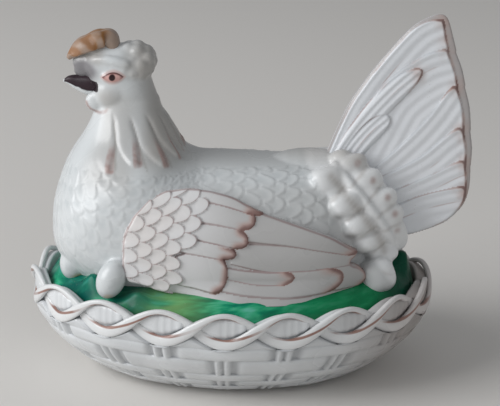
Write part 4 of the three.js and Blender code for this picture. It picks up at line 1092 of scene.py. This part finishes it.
def tail_glaze(brush):
    wander, crescent = brush.cloud(170.0, 3.0), brush.kept("crescent")
    line = (brush.kept("line") - wander * 0.55).within(0.5, 0.05) * brush.cloud(40.0).within(0.42, 0.6) * 0.55
    shaft = (brush.kept("shaft") - wander * 0.35).within(0.35, 0.02)
    shaft = shaft * brush.cloud(35.0).within(0.45, 0.6) * 0.45
    return painted(
        white_ware(brush, (0.72, 0.74, 0.77), (0.5, 0.53, 0.56)),
        ((line + shaft).within(0.0, 1.0), (0.4, 0.27, 0.25)),
        # painted shade on the back row's strip past the front feathers, which turns away from the light
        (brush.kept("behind").within(0.4, 1.0) * 0.75, (0.3, 0.265, 0.25)),
        ((crescent + wander * 0.6 - 0.3).within(0.1, 0.95) * 0.88,
         crescent.within(1.0, 0.55).over((0.17, 0.085, 0.07), (0.43, 0.3, 0.26))))


# the white is darkened close to each painted outline: painted shade, with some pooled glaze
tail = relief_plate(
    "tail_feathers", tail_x, tail_z, tail_depth, cell, tail_surface(-1), tail_surface(1),
    line=(line, 3), shaft=(shaft, 3), crescent=(crescent, 0), behind=(behind, 0),
    hollow=(limit(0.9 - line * 0.7), 0))
seat(tail, "lid", "feather_glaze", glaze("tail glaze", tail_glaze), "tail_fan")

# The dish stands on a plain pale table top that runs far back. Soft daylight falls on it from
# a wide window on the left, with a weak fill from the right, and the camera looks down on it
# a little and is rolled a trace, as the photo's is.

corners = 1000 * array([(-6, -4, 0), (6, -4, 0), (6, 8, 0), (-6, 8, 0)])
floor = raw_mesh("table_top", corners, [(0, 1, 2, 3)])
floor_paint = bpy.data.materials.new("pale table")
floor_paint.use_nodes = True
floor_shader = floor_paint.node_tree.nodes["Principled BSDF"]
floor_shader.inputs["Base Color"].default_value = (0.745, 0.722, 0.69, 1)
floor_shader.inputs["Roughness"].default_value = 0.75
floor.data.materials.append(floor_paint)

world = bpy.data.worlds.new("soft room")
bpy.context.scene.world = world
world.use_nodes = True
room = world.node_tree.nodes["Background"]
room.inputs["Color"].default_value = (0.92, 0.94, 0.965, 1)
room.inputs["Strength"].default_value = 0.29


def lamp(name, place, size, power, colour=(1, 1, 1)):
    data = bpy.data.lights.new(name, "AREA")
    data.size, data.energy, data.color = size, power, colour
    light = linked(name, data)
    light.location = place
    light.rotation_euler = (Vector(place) - Vector((0, 0, 0.08))).to_track_quat("Z", "Y").to_euler()


lamp("window", (-2.3, -0.85, 1.3), 2.0, 72.0, (0.985, 0.99, 1.0))
lamp("far_fill", (0.7, -1.3, 0.6), 1.4, 3.2)

# the camera's focal length and the shifts of its middle are in pixels of the photo's width
photo_width, focal, shift_right, shift_up = 500, 1415.9, 17, -6.3
tilt, roll, away, aim = np.radians(17.26), np.radians(-1.23), 0.7, (0, 0, 0.086)
view = bpy.data.cameras.new("camera")
view.sensor_width = 36
view.lens = focal / photo_width * view.sensor_width
view.shift_x, view.shift_y = shift_right / photo_width, shift_up / photo_width
view.clip_start, view.clip_end = 0.05, 30
camera = linked("camera", view)
turned = Matrix.Rotation(pi / 2 - tilt, 4, "X") @ Matrix.Rotation(-roll, 4, "Z")
camera.matrix_world = Matrix.Translation(aim) @ turned @ Matrix.Translation((0, 0, away))
bpy.context.scene.camera = camera

bpy.context.scene.view_settings.view_transform = "Standard"
